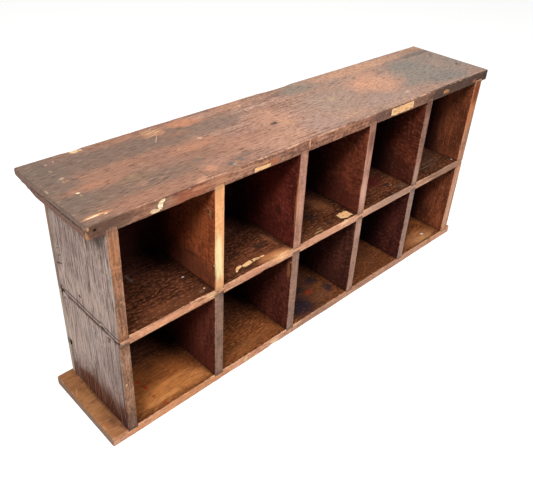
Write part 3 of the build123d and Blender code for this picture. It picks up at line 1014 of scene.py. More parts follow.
baseMarks = marksOn(
    "base",
    ((-11, 62), (12, 90), (0.46, 0.195, 0.070), 0.65, 0.4),
    ((-10, 10), (14, 20), (0.26, 0.105, 0.045), 0.65, 0.8),
    # painted contact shadow along the foot of the left side
    ((-1.0, 56), (3.4, 72), (0.13, 0.050, 0.022), 0.75, 0.9),
    ((-14, 64), (9, 34), (0.66, 0.32, 0.13), 0.5, 0.8),
    ((-12, 25), (10, 16), (0.27, 0.105, 0.042), 0.5, 0.8),
    ((-6, 20), (5, 12), (0.20, 0.085, 0.04), 0.6, 0.7),
    ((-15, 84.5), (0.8, 7.5), bareWood, 0.75, 0.6, -25),
    # painted golden light on the front of the first two floors, darker towards the back
    ((66, 48), (70, 40), (0.34, 0.105, 0.025), 0.65, 0.7),
    ((66, 20), (76, 24), (0.60, 0.225, 0.066), 0.7, 0.8),
    ((60, 12), (44, 5), (0.66, 0.30, 0.10), 0.5, 0.8),
    ((84, 30), (30, 4), (0.62, 0.26, 0.08), 0.4, 0.8),
    ((110, 14), (32, 13), (0.64, 0.25, 0.078), 0.5, 0.8),
    ((190, 14), (68, 17), (0.30, 0.105, 0.035), 0.6, 0.8),
    ((455, 44), (44, 15), (0.070, 0.022, 0.010), 0.5, 0.8),
    ((46, 51), (3.2, 3.0), redPaint, 0.8),
    ((48, 40), (2.8, 5.2), redPaint, 0.85),
    ((47.5, 22), (2.2, 2.4), redPaint, 0.5),
    ((52, 5), (2.6, 2.2), redPaint, 0.65),
    ((310, 40), (62, 60), (0.080, 0.030, 0.016), 0.75, 0.6),
    ((338, 16), (26, 15), (0.155, 0.056, 0.027), 0.7, 0.8),
    ((288, 22), (36, 26), blueBlack, 0.9, 0.7),
    ((315, 46), (15, 11), blueBlack, 0.85, 0.8),
    ((354, 24), (11, 13), blueBlack, 0.85, 0.8),
    ((346, 50), (15, 12), blueBlack, 0.8, 0.8),
    ((324, 34), (10, 6), redPaint, 0.5, 0.8),
    ((440, 40), (60, 60), (0.105, 0.034, 0.014), 0.6, 0.5),
    ((566, 14), (54, 18), (0.42, 0.170, 0.070), 0.75, 0.7),
    ((572, 8), (40, 8), (0.60, 0.30, 0.125), 0.6, 0.8),
    ((580, 16), (3.2, 2.4), chalkWhite, 0.85),
) + marksOn(
    "front",
    ((450, 6), (210, 13), (0.44, 0.245, 0.170), 0.5, 0.5),
    ((548, 6), (36, 9), (0.62, 0.350, 0.235), 0.5, 0.8),
    ((80, 6), (110, 10), (0.80, 0.36, 0.165), 0.65, 0.8),
    ((222, 5), (9, 3.4), creamWood, 0.7, 0.6),
    ((300, 6), (80, 10), (0.31, 0.172, 0.118), 0.7, 0.8),
    ((172, 6), (5.5, 4.6), creamWood, 0.65, 0.7),
)

# Middle shelf
shelfShape = dict(
    grain="x", arris=0.9, ends=(0.6, 0.6), step=5.0, worn=0.65, bow=0.08, edgeBow=0.2, inside=(1, 1),
    grooves=groovesOf("low", "middle_shelf", lowers) + groovesOf("high", "middle_shelf", uppers),
    chips=(
        dict(arris="frontHigh", at=96, length=9, depth=1.3),
        dict(arris="frontLow", at=200, length=10, depth=1.2),
        dict(arris="frontHigh", at=345, length=8, depth=1.4),
    ),
)
shelfLook = dict(
    outer=shadesOf((0.30, 0.14, 0.075), 0.4, 1.5), inner=shadesOf((0.084, 0.027, 0.0120), 0.35, 2.2),
    front=((0.26, 0.115, 0.070), (0.68, 0.335, 0.200), (0.92, 0.56, 0.37)),
    worn=(0.80, 0.50, 0.29), capColour=(0.035, 0.022, 0.018), capShare=0.95, gleam=0.2, rough=0.5,
    streaks=(44.0, 980.0), poreScale=(60.0, 1300.0), innerPores=0.5, innerContrast=5.6,
    innerMix=(0.26, 0.18, 0.14, 0.40, 0.02), mottleScale=(200.0, 380.0), speckles=0.18, innerGleam=0.03,
)
shelfMarks = marksOn(
    "shelf",
    # painted light on the front of the first two floors
    ((68, 8), (64, 16), (0.185, 0.063, 0.028), 0.6, 0.8),
    ((192, 12), (62, 13), (0.180, 0.060, 0.027), 0.55, 0.8),
    ((450, 44), (42, 16), (0.050, 0.012, 0.008), 0.5, 0.8),
    ((300, 8), (60, 12), (0.150, 0.055, 0.025), 0.5, 0.8),
    ((62, 76), (2.6, 10), (0.30, 0.27, 0.24), 0.45, 0.7),
    ((109, 41), (2.0, 1.7), chalkWhite, 0.95),
    ((115, 10), (1.4, 1.1), chalkWhite, 0.7),
    ((110, 8), (5, 3), (0.30, 0.16, 0.09), 0.5, 0.6),
    ((216, 31), (11, 9), sootAndShadeBlack, 0.75, 0.6),
    ((218, 32), (5, 4), (0.09, 0.045, 0.028), 0.5, 0.7),
    ((184, 36), (6, 4), sootAndShadeBlack, 0.75, 0.6),
    ((234, 34), (5, 20), (0.26, 0.105, 0.05), 0.6, 0.7),
    ((218, 5.5), (34, 9), (0.60, 0.24, 0.095), 0.85, 0.8),
    ((226, 2), (22, 5), (0.86, 0.44, 0.20), 0.8, 0.8),
    # painted shadow under the torn paper scraps
    ((178, 8), (24, 5), (0.028, 0.012, 0.007), 0.7, 0.7),
    ((312, 40), (13, 20), sootAndShadeBlack, 0.7, 0.6),
    ((345, 48), (17, 28), (0.24, 0.085, 0.032), 0.6, 0.7),
    ((296, 4.5), (10, 1.8), (0.52, 0.30, 0.14), 0.7, 0.7),
    ((301, 9), (7, 1.6), (0.46, 0.25, 0.12), 0.55, 0.7),
    ((322, 8), (6, 5), sootAndShadeBlack, 0.6, 0.6),
    ((478, 9), (14, 7), (0.200, 0.120, 0.080), 0.35, 0.8),
    ((462, 24), (8, 5), sootAndShadeBlack, 0.85, 0.6),
    ((466, 20), (4, 1.4), (0.36, 0.30, 0.25), 0.6, 0.7),
    ((560, 40), (60, 40), (0.058, 0.030, 0.020), 0.6, 0.6),
    ((552, 20), (38, 1.2), (0.30, 0.20, 0.14), 0.4, 0.9),
    ((566, 28), (34, 1.0), (0.30, 0.20, 0.14), 0.35, 0.9),
    ((452, 46), (26, 24), (0.085, 0.008, 0.010), 0.75, 0.8),
    ((610, 9), (2.2, 2.0), chalkWhite, 0.6),
    ((493, 7), (2.0, 1.8), chalkWhite, 0.6),
) + marksOn(
    "front",
    ((58, 139), (70, 7), (0.94, 0.45, 0.255), 0.6, 0.8),
    ((102, 141), (8, 3), (0.22, 0.11, 0.075), 0.7, 0.6),
    ((117, 140), (9, 4.5), creamWood, 0.75, 0.6),
    ((176, 139), (44, 7), (0.66, 0.27, 0.17), 0.5, 0.8),
    ((226, 140), (26, 8), (1.0, 0.54, 0.285), 0.8, 0.8),
    ((226, 140), (4, 3), creamWood, 0.7, 0.6),
    ((300, 139), (60, 8), (0.80, 0.40, 0.265), 0.55, 0.8),
    ((342, 142), (9, 3), creamWood, 0.8, 0.5),
    ((440, 139), (100, 9), (0.44, 0.285, 0.225), 0.7, 0.7),
    ((575, 139), (84, 10), (0.235, 0.138, 0.100), 0.8, 0.6),
)

# Sides: dry and grey outside, bare at the front, with a rough seam between the two left boards
housing = 3.5  # how far an upright goes into the boards above and below it
sideShape = dict(
    grain="z", arris=0.9, ends=(0.5, 0.5), step=5.0, worn=0.6, bow=0.08, edgeBow=0.15, seat=housing,
)
leftUpperShape = dict(
    sideShape, inside=(0, 1),
    gouges=(
        dict(at=(0, 71, 156), radius=3.0, push=(0.9, 0, 0)),
        dict(at=(0, 30, 144), radius=5.0, push=(1.4, 0, 0)),
        dict(at=(0, 110, 143), radius=6.0, push=(1.6, 0, 0)),
    ),
)
leftLowerShape = dict(
    sideShape, inside=(0, 1),
    gouges=(
        dict(at=(0, 17, 134), radius=7.5, push=(2.2, 0, -0.8)),
        dict(at=(0, 108, 138), radius=8.0, push=(2.4, 0, -0.6)),
        dict(at=(0, 114, 62), radius=6.0, push=(2.0, -1.5, 0)),
    ),
)
rightShape = dict(sideShape, inside=(1, 0))
greySide = ((0.17, 0.108, 0.090), (0.62, 0.455, 0.395), (0.88, 0.73, 0.66))
leftLook = dict(
    outer=greySide, inner=shadesOf((0.20, 0.055, 0.022)), front=shadesOf((0.45, 0.205, 0.105), 0.45, 1.5),
    outerMix=(0.50, 0.22, 0.04, 0.24, 0.0), contrast=3.0, frontMix=(0.06, 0.46, 0.02, 0.46, 0.0),
    streaks=(24.0, 900.0), poreScale=(36.0, 900.0), pores=0.85, frontPores=0.25,
    poreColour=(0.085, 0.046, 0.036), flecks=0.34, grey=0.2, greyColour=(0.36, 0.29, 0.265), warm=0.0,
    # worn: pale grey-blue, bare wood with a painted highlight on the arrises
    worn=(0.64, 0.54, 0.48), wornDark=(0.40, 0.31, 0.27), wornShare=0.5, rough=0.55, gleam=0.15, bump=0.9,
)
leftLowerLook = dict(leftLook, front=shadesOf((0.33, 0.172, 0.105), 0.45, 1.5))
leftUpperMarks = marksOn(
    "left",
    # painted shadow under the top's overhang
    ((60, 262), (120, 30), (0.25, 0.165, 0.130), 0.55, 0.9),
    ((86, 222), (54, 30), (0.38, 0.26, 0.23), 0.5, 0.8),
    ((60, 164), (90, 26), (0.82, 0.61, 0.525), 0.55, 0.8),
    ((103, 158), (14, 26), (0.92, 0.70, 0.60), 0.45, 0.8),
    ((108, 178.5), (14, 1.5), (0.12, 0.055, 0.028), 0.9, 0.5, -25),
    ((93, 166), (12, 1.3), (0.07, 0.042, 0.034), 0.85, 0.6, 55),
    ((104, 191), (7, 1.2), (0.12, 0.08, 0.06), 0.7, 0.6, -30),
    ((106, 199), (6, 1.1), (0.12, 0.08, 0.06), 0.7, 0.6, -30),
    ((60, 145.4), (120, 1.9), (0.10, 0.066, 0.053), 0.85, 0.6),
    ((71, 156), (2.8, 2.0), sootAndShadeBlack, 0.85),
    # painted highlight along the front arris
    ((1.2, 205), (1.8, 66), (0.60, 0.56, 0.54), 0.7, 0.6),
) + marksOn(
    "front",
    ((6, 248), (8, 24), (0.48, 0.20, 0.10), 0.6, 0.7),
    ((8, 190), (2, 2), bareWood, 0.5),
)
leftLowerMarks = marksOn(
    "left",
    ((94, 90), (42, 48), (0.88, 0.665, 0.57), 0.55, 0.8),
    ((16, 92), (24, 44), (0.34, 0.255, 0.225), 0.5, 0.8),
    # darker and redder towards the foot: partly stain and dirt, partly painted shade and reddish light
    # bounced from the base
    ((12, 6), (135, 74), (0.165, 0.046, 0.020), 0.95, 0.65, -14),
    ((24, 4), (160, 52), (0.070, 0.014, 0.005), 0.95, 0.7, -6),
    ((78, 22), (60, 28), (0.125, 0.030, 0.008), 0.9, 0.7),
    ((60, 141.2), (120, 2.0), (0.10, 0.066, 0.053), 0.85, 0.6),
    ((8, 139), (8, 3.0), (0.06, 0.04, 0.033), 0.85, 0.6),
    ((20, 132), (4, 6), (0.06, 0.04, 0.033), 0.85, 0.6, 20),
    ((16, 134), (7, 5), (0.07, 0.045, 0.036), 0.75, 0.6),
    ((108, 138), (6, 5), (0.07, 0.045, 0.036), 0.75, 0.6),
    ((60, 100), (50, 30), (0.52, 0.41, 0.36), 0.35, 0.8),
    ((50, 118), (12, 8), (0.36, 0.34, 0.32), 0.5, 0.8),
    ((2, 75), (2.2, 60), (0.06, 0.04, 0.034), 0.75, 0.6),
    ((109, 92), (3, 18), (0.72, 0.60, 0.48), 0.7, 0.6),
    ((110, 62), (3, 7), (0.09, 0.055, 0.04), 0.75, 0.6),
) + marksOn(
    "front",
    ((3.6, 80), (1.3, 2.2), creamWood, 0.6),
    ((6, 20), (8, 24), (0.17, 0.105, 0.082), 0.6, 0.7),
)
rightLook = dict(
    outer=greySide, inner=shadesOf((0.265, 0.074, 0.032), 0.5, 1.6),
    front=shadesOf((0.55, 0.270, 0.170), 0.45, 1.5),
    frontMix=(0.12, 0.44, 0.04, 0.40, 0.0), innerContrast=5.0, streaks=(24.0, 900.0),
    # deep and deepSpan: stronger painted shade towards the back of the last openings
    poreScale=(36.0, 900.0), deep=0.92, deepSpan=(22.0, 62.0), speckles=0.3,
    worn=(0.62, 0.38, 0.22), rough=0.55, gleam=0.15,
)
rightUpperMarks = marksOn(
    "front",
    ((618, 228), (9, 44), (0.50, 0.165, 0.057), 0.8, 0.6),
    ((620, 258), (14, 32), (0.20, 0.044, 0.010), 0.9, 0.7),
    ((626.5, 200), (3.6, 60), (0.20, 0.125, 0.09), 0.65, 0.7),
)
rightLowerMarks = marksOn(
    "front",
    ((619, 66), (9, 70), (0.66, 0.385, 0.26), 0.7, 0.7),
    ((626.5, 75), (3.0, 60), (0.24, 0.14, 0.10), 0.5, 0.7),
)

# Dividers: the first has a pale front edge and a hole in its left face
dividerShape = dict(
    grain="z", arris=0.7, ends=(0.4, 0.4), step=6.0, worn=0.55, bow=0.08, edgeBow=0.12, inside=(1, 1),
    seat=housing,
)
dividerLook = dict(
    worn=(0.56, 0.30, 0.17), wornDark=(0.36, 0.15, 0.075), wornShare=0.6, rough=0.6, gleam=0.12, grey=0.1,
    streaks=(26.0, 700.0), poreScale=(40.0, 760.0), innerPores=0.5, poreColour=(0.035, 0.011, 0.007),
    # deep: painted shade towards the back of the openings
    innerMix=(0.16, 0.30, 0.06, 0.48, 0.0), innerContrast=6.0, frontContrast=2.6, speckles=0.14, deep=0.78,
    mottleScale=(320.0, 170.0),
)
# Own settings of some dividers; deep and deepSpan set the painted shade towards the back of their openings
dividerOwn = dict(
    upper_divider_1=dict(pores=0.2, innerPores=0.35, frontPores=0.5, speckles=0.06),
    upper_divider_3=dict(deepSpan=(24.0, 84.0), deep=0.85),
    upper_divider_4=dict(deepSpan=(20.0, 66.0), deep=0.9, speckles=0.25),
    lower_divider_4=dict(deepSpan=(20.0, 66.0), deep=0.9, speckles=0.22),
)
dividerHole = dict(face="low", at=(241.0, bodyCorner[1] + 11.4), radius=1.9, depth=4.0)
dividerFronts = dict(
    upper=(
        ((0.74, 0.32, 0.13), (0.96, 0.50, 0.23), (1.0, 0.70, 0.38)),
        shadesOf((0.47, 0.245, 0.180), 0.5, 1.5),
        shadesOf((0.45, 0.238, 0.182), 0.5, 1.5), shadesOf((0.265, 0.145, 0.114), 0.5, 1.5),
    ),
    lower=(
        shadesOf((0.27, 0.165, 0.125), 0.5, 1.5), shadesOf((0.33, 0.198, 0.155), 0.5, 1.5),
        shadesOf((0.41, 0.238, 0.180), 0.5, 1.5), shadesOf((0.365, 0.240, 0.200), 0.5, 1.5),
    ),
)
dividerFaces = dict(
    upper=((0.37, 0.090, 0.032), (0.150, 0.027, 0.017), (0.20, 0.048, 0.024), (0.165, 0.038, 0.019)),
    lower=((0.140, 0.034, 0.021), (0.115, 0.028, 0.018), (0.105, 0.031, 0.021), (0.085, 0.020, 0.015)),
)
dividerMarks = dict(
    upper_divider_1=marksOn(
        "front",
        ((127, 187), (7.5, 50), (1.0, 0.85, 0.47), 0.9, 0.7),
        ((128, 262), (8, 14), (0.80, 0.36, 0.17), 0.7, 0.6),
        ((128, 151), (8, 11), (0.76, 0.34, 0.17), 0.7, 0.6),
        ((132.5, 215), (3.0, 56), (0.84, 0.40, 0.19), 0.6, 0.7),
    ) + marksOn(
        "divider1",
        ((3, 172.5), (2.6, 3.4), (0.10, 0.03, 0.015), 0.85, 0.5),
        ((1.5, 176), (1.6, 2.0), creamWood, 0.8, 0.5),
        # painted light on the front of the face, halfway up
        ((26, 215), (26, 34), (0.45, 0.120, 0.038), 0.6, 0.8),
        ((40, 158), (90, 30), (0.150, 0.046, 0.024), 0.8, 0.8),
        ((40, 172), (22, 3.4), (0.07, 0.018, 0.011), 0.55, 0.9, -6),
        ((18, 182), (14, 2.6), (0.09, 0.024, 0.013), 0.5, 0.9, 12),
        ((10, 242), (6, 6.5), (0.46, 0.20, 0.095), 0.7, 0.7),
        ((11, 241), (2.8, 3.0), (0.008, 0.004, 0.003), 0.98, 0.4),
        ((8, 236), (1.0, 9), (0.52, 0.25, 0.13), 0.6, 0.6, -20),
    ),
    upper_divider_2=marksOn(
        "front",
        ((251, 200), (9, 36), (0.60, 0.315, 0.235), 0.6, 0.8),
    ) + marksOn(
        "divider2",
        ((1.0, 206), (2.2, 42), (0.58, 0.23, 0.10), 0.75, 0.6),
        ((40, 160), (60, 26), (0.085, 0.014, 0.011), 0.7, 0.8),
        # painted light on the front of the face, halfway up
        ((38, 212), (26, 28), (0.25, 0.045, 0.027), 0.5, 0.8),
        ((30, 185), (10, 9), (0.05, 0.014, 0.010), 0.7, 0.7),
        ((12, 175), (9, 12), (0.07, 0.020, 0.014), 0.6, 0.7),
    ),
    upper_divider_3=marksOn(
        "front",
        ((373, 176), (9, 38), (0.70, 0.415, 0.325), 0.7, 0.8),
        ((373, 254), (10, 32), (0.16, 0.070, 0.052), 0.8, 0.8),
    ) + marksOn(
        "divider3",
        ((40, 160), (60, 28), (0.090, 0.019, 0.013), 0.75, 0.8),
        # painted light on the front of the face, halfway up
        ((36, 214), (24, 28), (0.27, 0.062, 0.034), 0.5, 0.8),
    ),
    upper_divider_4=marksOn(
        "divider4",
        ((36, 162), (60, 30), (0.075, 0.019, 0.012), 0.75, 0.8),
    ) + marksOn(
        "front",
        ((496, 162), (9, 32), (0.50, 0.320, 0.250), 0.7, 0.8),
        ((496, 262), (10, 18), (0.115, 0.052, 0.036), 0.7, 0.8),
    ),
    lower_divider_1=marksOn(
        "divider1",
        ((36, 26), (60, 28), (0.085, 0.019, 0.013), 0.65, 0.8),
    ),
    lower_divider_2=marksOn(
        "divider2",
        ((5, 108), (4.5, 19), (0.40, 0.14, 0.052), 0.8, 0.6),
        ((2, 122), (1.6, 3), bareWood, 0.7, 0.6),
    ),
    lower_divider_3=marksOn(
        "front",
        ((373, 112), (9, 24), (0.55, 0.335, 0.275), 0.6, 0.8),
    ) + marksOn(
        "divider3",
        ((36, 28), (60, 28), (0.070, 0.020, 0.015), 0.6, 0.8),
    ),
)

# Back boards: bare outside, the end of the lower one pale and the end of the upper one orange near the top
backShape = dict(
    grain="back", arris=0.6, ends=(0.8, 0.8), step=6.0, worn=0.6, bow=0.06, edgeBow=0.3, inside=(1, 0),
)
upperBackLook = dict(
    outer=((0.12, 0.062, 0.036), (0.25, 0.145, 0.088), (0.38, 0.24, 0.155)),
    inner=shadesOf((0.10, 0.025, 0.014)), front=shadesOf((0.12, 0.03, 0.016)),
    # deep: painted shade on the inner face of the back
    worn=(0.55, 0.36, 0.21), rough=0.55, grey=0.4, deep=0.6,
    capColour=(0.40, 0.30, 0.25), capShare=0.85,
)
lowerBackLook = dict(upperBackLook, capColour=(0.74, 0.62, 0.50), capShare=0.9)
backLooks = dict(upper=upperBackLook, lower=lowerBackLook)
backMarks = dict(
    upper=marksOn(
        "left",
        ((119, 232), (2.6, 44), (0.62, 0.26, 0.10), 0.85, 0.6),
    ) + marksOn(
        "back",
        ((200, 220), (90, 30), (0.36, 0.23, 0.150), 0.5, 0.8),
        ((470, 250), (70, 14), (0.11, 0.062, 0.042), 0.6, 0.8),
        ((314, 139.5), (420, 2.6), (0.030, 0.018, 0.012), 0.9, 0.6),
    ),
    lower=marksOn(
        "left",
        ((117, 62), (4, 7), (0.09, 0.055, 0.04), 0.8, 0.5),
    ) + marksOn(
        "back",
        ((420, 80), (90, 26), (0.37, 0.25, 0.165), 0.5, 0.8),
        ((120, 20), (130, 16), (0.10, 0.058, 0.040), 0.6, 0.8),
        ((314, 138), (420, 2.6), (0.030, 0.018, 0.012), 0.9, 0.6),
    ),
)


# Seeds of the boards' waves, wear and grain
boardSeeds = dict(
    top_board=3, base_board=17, middle_shelf=29, left_side_upper=41, left_side_lower=53,
    right_side_upper=67, right_side_lower=79, upper_back_board=211, lower_back_board=224,
)
for row, firstSeed in (("upper", 101), ("lower", 141)):
    boardSeeds.update({f"{row}_divider_{n + 1}": firstSeed + 9 * n for n in range(dividerCount)})


# Rust that a brad leaves in the back round its head
def rustRound(pit):
    return markOn("back", np.subtract(pit["at"], bodyCorner[[0, 2]]), (4, 6), rustStain, 0.7, 0.8)


def makeBoards():
    def build(node, shape, look, marks=()):
        seed = boardSeeds[node]
        grain = "z" if shape["grain"] == "z" else "x"
        piece = boardPiece("worn_" + node, node, shape, seed)
        dress(piece, woodMaterial(node + "_wood", grain, seed, look, marks), node)

    build("top_board", topShape, topLook, topMarks)
    build("base_board", baseShape, baseLook, baseMarks)
    build("middle_shelf", shelfShape, shelfLook, shelfMarks)
    build("left_side_upper", leftUpperShape, leftLook, leftUpperMarks)
    build("left_side_lower", leftLowerShape, leftLowerLook, leftLowerMarks)
    build("right_side_upper", rightShape, rightLook, rightUpperMarks)
    build("right_side_lower", rightShape, rightLook, rightLowerMarks)
    for row in ("upper", "lower"):
        for n in range(dividerCount):
            node = f"{row}_divider_{n + 1}"
            shape = dict(dividerShape, pits=(dividerHole,)) if node == "upper_divider_1" else dividerShape
            face = shadesOf(dividerFaces[row][n])
            own = dividerOwn.get(node, {})
            look = dict(dividerLook, outer=face, inner=face, front=dividerFronts[row][n], **own)
            build(node, shape, look, dividerMarks.get(node, ()))
        pits = pitsOf(f"{row}_back_brads", (0, 2), "high", bradSizes, 0.7)
        marks = backMarks[row] + [rustRound(pit) for pit in pits]
        build(f"{row}_back_board", dict(backShape, pits=pits), backLooks[row], marks)


makeBoards()
print("boards are made")


nailRound = 22  # points round a nail
nailSeed = 301  # of the first group, and one more for each next


# Nails: a profile of radius and depth turned about each nail's line, the head domed, tilted and out of round
def nailPiece(name, node, axes, heading, sizes, sunk, seed):
    low, high = boxOf(node)
    along = 3 - sum(axes)
    start = high[along] if heading < 0 else low[along]
    length = high[along] - low[along]
    head, deep, shank = sizes["head"], sizes["headDeep"], sizes["shank"]
    radius = np.array([0, 0.45, 0.75, 0.94, 1.0, 0.97, shank / head, shank / head, 0.1, 0]) * head
    depth = np.array([
        0, 0.02, 0.08, 0.2, 0.4, deep, deep + 0.1, length - sizes["point"], length - 0.2, length,
    ])
    places = np.array(nailPlaces(node, axes))
    draw = np.random.default_rng(seed)
    lean = draw.uniform(0, 2 * math.pi, (len(places), 1, 1))
    tilt = draw.uniform(0.02, 0.12, (len(places), 1, 1))
    turn = np.linspace(0, 2 * math.pi, nailRound, endpoint=False)[None, None, :]
    ring = radius[None, :, None] * (1 + 0.06 * np.cos(2 * (turn - lean)))
    onHead = depth[None, :, None] < 0.5
    sink = sunk + depth[None, :, None] + tilt * ring * np.cos(turn - lean) * onHead
    points = np.empty(ring.shape + (3,))
    points[..., axes[0]] = places[:, 0, None, None] + ring * np.cos(turn)
    points[..., axes[1]] = places[:, 1, None, None] + ring * np.sin(turn)
    points[..., along] = start + heading * np.minimum(sink, length)
    return gridPiece(name, points, dict(wear=1.0 * onHead))


# Iron: brown rust in fine mottle, with the heads rubbed bright or left dark
def ironMaterial(name, look):
    material, tree, shader, coords = newMaterial(name)
    mottle = noiseOf(tree, coords, (900.0, 900.0, 900.0), detail=5.0, rough=0.7)
    bright = mathOf(tree, "MULTIPLY", attributeOf(tree, "wear"), look["bright"])
    polished = mathOf(tree, "MULTIPLY", bright, rangeOf(tree, mottle, 0.66, 0.44))
    colour = mixOf(tree, rangeOf(tree, mottle, 0.42, 0.62), look["rust"], look["dark"])
    colour = mixOf(tree, polished, colour, look["metal"])
    tree.links.new(mathOf(tree, "MULTIPLY", polished, look["shine"]), shader.inputs["Metallic"])
    rough = rangeOf(tree, mottle, 0.3, 0.7, look["rough"], 0.85)
    finishShader(tree, shader, colour, rough, mottle, look["bump"], look["bumpDeep"])
    return material


rustyIron = dict(
    rust=(0.15, 0.062, 0.032), dark=(0.030, 0.020, 0.017), metal=(0.62, 0.55, 0.48),
    rough=0.5, bright=0.15, shine=1.0, bump=0.5, bumpDeep=0.0002,
)
brightIron = dict(
    rustyIron, rust=(0.22, 0.14, 0.095), dark=(0.10, 0.065, 0.048), metal=(0.48, 0.33, 0.22),
    bright=0.6, shine=0.2,
)
paintedIron = dict(rustyIron, rust=(0.26, 0.12, 0.075), dark=(0.12, 0.055, 0.036), bright=0.0, rough=0.6)


def makeNails():
    groups = (
        ("top_nails_left", (0, 1), -1, nailSizes, 0.0, brightIron),
        ("top_nails_middle", (0, 1), -1, nailSizes, -0.22, paintedIron),
        ("top_nails_right", (0, 1), -1, nailSizes, 0.9, rustyIron),
        ("base_nails", (0, 1), 1, nailSizes, 0.0, rustyIron),
        ("upper_back_brads", (0, 2), -1, bradSizes, 0.0, rustyIron),
        ("lower_back_brads", (0, 2), -1, bradSizes, 0.0, rustyIron),
    )
    for count, (node, axes, heading, sizes, sunk, look) in enumerate(groups):
        piece = nailPiece("driven_" + node, node, axes, heading, sizes, sunk, nailSeed + count)
        dress(piece, ironMaterial(node + "_iron", look), node)


makeNails()
print("nails are driven")

# Paper scraps: each runs along a curve through its points, with a width at each point, in millimetres from
# the body's front left corner; on the edge the second number is height, on the shelf it is depth
edgeScraps = (
    dict(
        path=((62.8, 282.4), (58.8, 281.4), (57.2, 278.6), (59.4, 275.6)),
        width=(2.4, 4.8, 5.8, 3.8), tint=0.0,
    ),
    dict(
        path=((46.6, 273.8), (49.4, 275.0), (52.8, 274.3), (56.0, 274.8)),
        width=(2.8, 4.4, 3.4, 2.2), tint=0.3,
    ),
    dict(
        path=((174.5, 274.7), (183, 274.6), (190.5, 274.5), (197.4, 274.5)),
        width=(4.6, 4.4, 4.2, 3.6), tint=0.75,
    ),
    dict(
        path=((408, 278.0), (423.5, 278.1), (439, 278.2), (454.8, 278.4)),
        width=(8.8, 9.4, 9.4, 8.8), tint=0.72,
    ),
    dict(
        path=((525.5, 278.0), (530, 278.0), (534, 277.6), (538.8, 277.2)),
        width=(2.6, 4.2, 4.0, 2.4), tint=1.8,
    ),
)
shelfScraps = (
    dict(
        path=((160.5, 7.6), (163, 10.6), (167, 12.6), (172, 12.4)),
        width=(2.2, 3.2, 4.2, 3.0), tint=0.8, crumple=1.5,
    ),
    dict(
        path=((173, 12.2), (177, 11.6), (182, 12.0), (187, 12.8)),
        width=(3.0, 5.0, 5.6, 4.6), tint=0.75, crumple=1.3,
    ),
    dict(
        path=((189.5, 12.8), (193, 12.8), (197, 12.4), (200, 12.0)),
        width=(4.4, 3.8, 3.0, 2.4), tint=0.78, crumple=0.9,
    ),
    dict(
        path=((201, 12.2), (203, 12.0), (205, 12.0), (207.4, 12.2)),
        width=(2.4, 2.6, 2.2, 1.4), tint=0.76, crumple=0.7,
    ),
    dict(
        path=((341.5, 10.9), (348, 10.2), (354, 9.6), (360.5, 9.4)),
        width=(9.0, 12.5, 13.0, 12.0), tint=0.78, crumple=0.3,
    ),
)

paperThickness = 0.28
scrapRows, scrapAcross = 34, 13  # grid of one scrap
scrapSeeds = dict(edge=401, shelf=431)


# Scrap of paper: a flat strip along the curve, its border torn by seeded ripples and its edges lifting a
# little, closed round as a thin loop whose first and last rows are pinched shut
def scrapPoints(scrap, seed):
    rows = np.linspace(0, 1, scrapRows)
    knots = np.linspace(0, 1, len(scrap["path"]))
    curve = [np.poly1d(np.polyfit(knots, axis, len(knots) - 1)) for axis in np.array(scrap["path"]).T]
    width = np.poly1d(np.polyfit(knots, scrap["width"], len(knots) - 1))
    tear = rippleOf(seed, count=6, shortest=1.2, longest=14)
    ends = rippleOf(seed + 1, count=5, shortest=0.8, longest=6)
    across = np.linspace(-1, 1, scrapAcross)
    loop = np.concatenate([across, across[::-1]])
    above = np.concatenate([np.ones(scrapAcross), np.zeros(scrapAcross)])
    length = np.hypot(curve[0](1) - curve[0](0), curve[1](1) - curve[1](0))
    along = rows[:, None] + (rows[:, None] - 0.5) * 0.9 * ends(loop * 4)[None, :] / length
    slope = [axis.deriv()(along) for axis in curve]
    norm = np.hypot(*slope)
    run = rows[:, None] * length
    ragged = 1 + 0.16 * tear(run) * np.sign(loop)[None, :] + 0.10 * tear(run + 40)
    half = width(rows)[:, None] / 2 * ragged
    first = curve[0](along) - slope[1] / norm * half * loop
    second = curve[1](along) + slope[0] / norm * half * loop
    border = np.maximum(np.abs(loop)[None, :], np.abs(2 * rows - 1)[:, None])
    curl = 0.35 * np.clip((border - 0.55) / 0.45, 0, 1) ** 2 * (0.5 + 0.5 * tear(rows * 30 + 9)[:, None])
    folds = 0.5 + 0.5 * tear(run + 2.2 * loop[None, :] + 17)
    pinch = np.where(np.isin(rows, (0, 1)), 0, 1)[:, None] * np.where(np.abs(loop) == 1, 0.3, 1.0)[None, :]
    height = 0.02 + curl + scrap.get("crumple", 0.0) * folds + paperThickness * above[None, :] * pinch
    return first, second, height, border


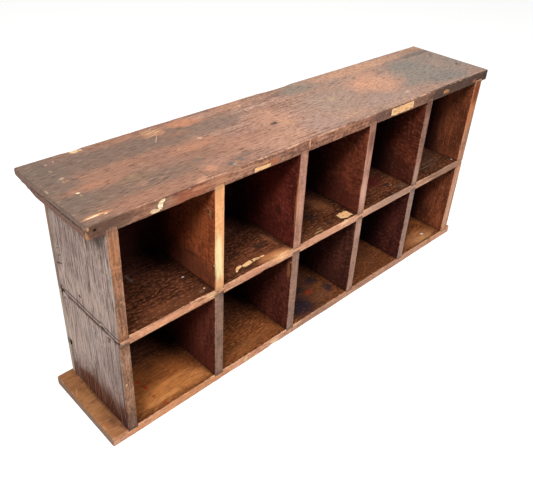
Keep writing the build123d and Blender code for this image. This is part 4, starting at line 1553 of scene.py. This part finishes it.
def scrapPiece(name, scraps, onEdge, seed):
    points, border, tint = [], [], []
    for count, scrap in enumerate(scraps):
        first, second, height, edge = scrapPoints(scrap, seed + 7 * count)
        x = first + bodyCorner[0]
        if onEdge:
            frontFace = bodyLow[1] + edgeShift(topShape, boardSeeds["top_board"], x)
            points.append(np.stack([x, frontFace - height, second], axis=-1))
        else:
            points.append(np.stack([x, second + bodyCorner[1], shelfTop + height], axis=-1))
        border.append(edge + 0 * x)
        tint.append(scrap["tint"] + 0 * x)
    return gridPiece(name, np.array(points), dict(wear=np.array(border), tint=np.array(tint)), sharp=50.0)


# Paper: cream going orange with age, clouded by damp, with fibres and a pale torn border
paperLook = dict(
    fresh=(0.97, 0.84, 0.58), aged=(0.78, 0.38, 0.125), damp=(0.36, 0.14, 0.050), torn=(0.92, 0.74, 0.47),
    fibre=(0.45, 0.26, 0.12), gleam=0.2, bump=0.5, bumpDeep=0.0002,
)


def paperMaterial(name, look):
    material, tree, shader, coords = newMaterial(name)
    clouds = noiseOf(tree, coords, (170.0, 340.0, 380.0), detail=5.0, rough=0.66)
    fibres = noiseOf(tree, coords, (900.0, 1500.0, 2600.0), detail=3.0, rough=0.6)
    tint = attributeOf(tree, "tint")  # 0 is fresh, 1 aged and 2 damp
    colour = mixOf(tree, tint, look["fresh"], look["aged"])
    colour = mixOf(tree, rangeOf(tree, tint, 1.0, 2.0), colour, look["damp"])
    colour = mixOf(tree, rangeOf(tree, clouds, 0.44, 0.64, 0.0, 0.65), colour, look["damp"])
    border = weighted(tree, ((attributeOf(tree, "wear"), 1.0), (clouds, 0.5)))
    colour = mixOf(tree, rangeOf(tree, border, 1.05, 1.25, 0.0, 0.45), colour, look["torn"])
    colour = mixOf(tree, rangeOf(tree, fibres, 0.52, 0.72, 0.0, 0.35), colour, look["fibre"])
    rough = rangeOf(tree, fibres, 0.3, 0.7, 0.75, 0.95)
    height = weighted(tree, ((fibres, 0.5), (clouds, 0.6)))
    finishShader(tree, shader, colour, rough, height, look["bump"], look["bumpDeep"])
    shader.inputs["Specular IOR Level"].default_value = look["gleam"]
    return material


def makeScraps():
    paper = paperMaterial("yellowed_paper", paperLook)
    onEdge = scrapPiece("torn_edge_labels", edgeScraps, True, scrapSeeds["edge"])
    dress(onEdge, paper, "edge_label_scraps")
    onShelf = scrapPiece("torn_shelf_labels", shelfScraps, False, scrapSeeds["shelf"])
    dress(onShelf, paper, "shelf_label_scraps")


makeScraps()
print("paper scraps are stuck on")
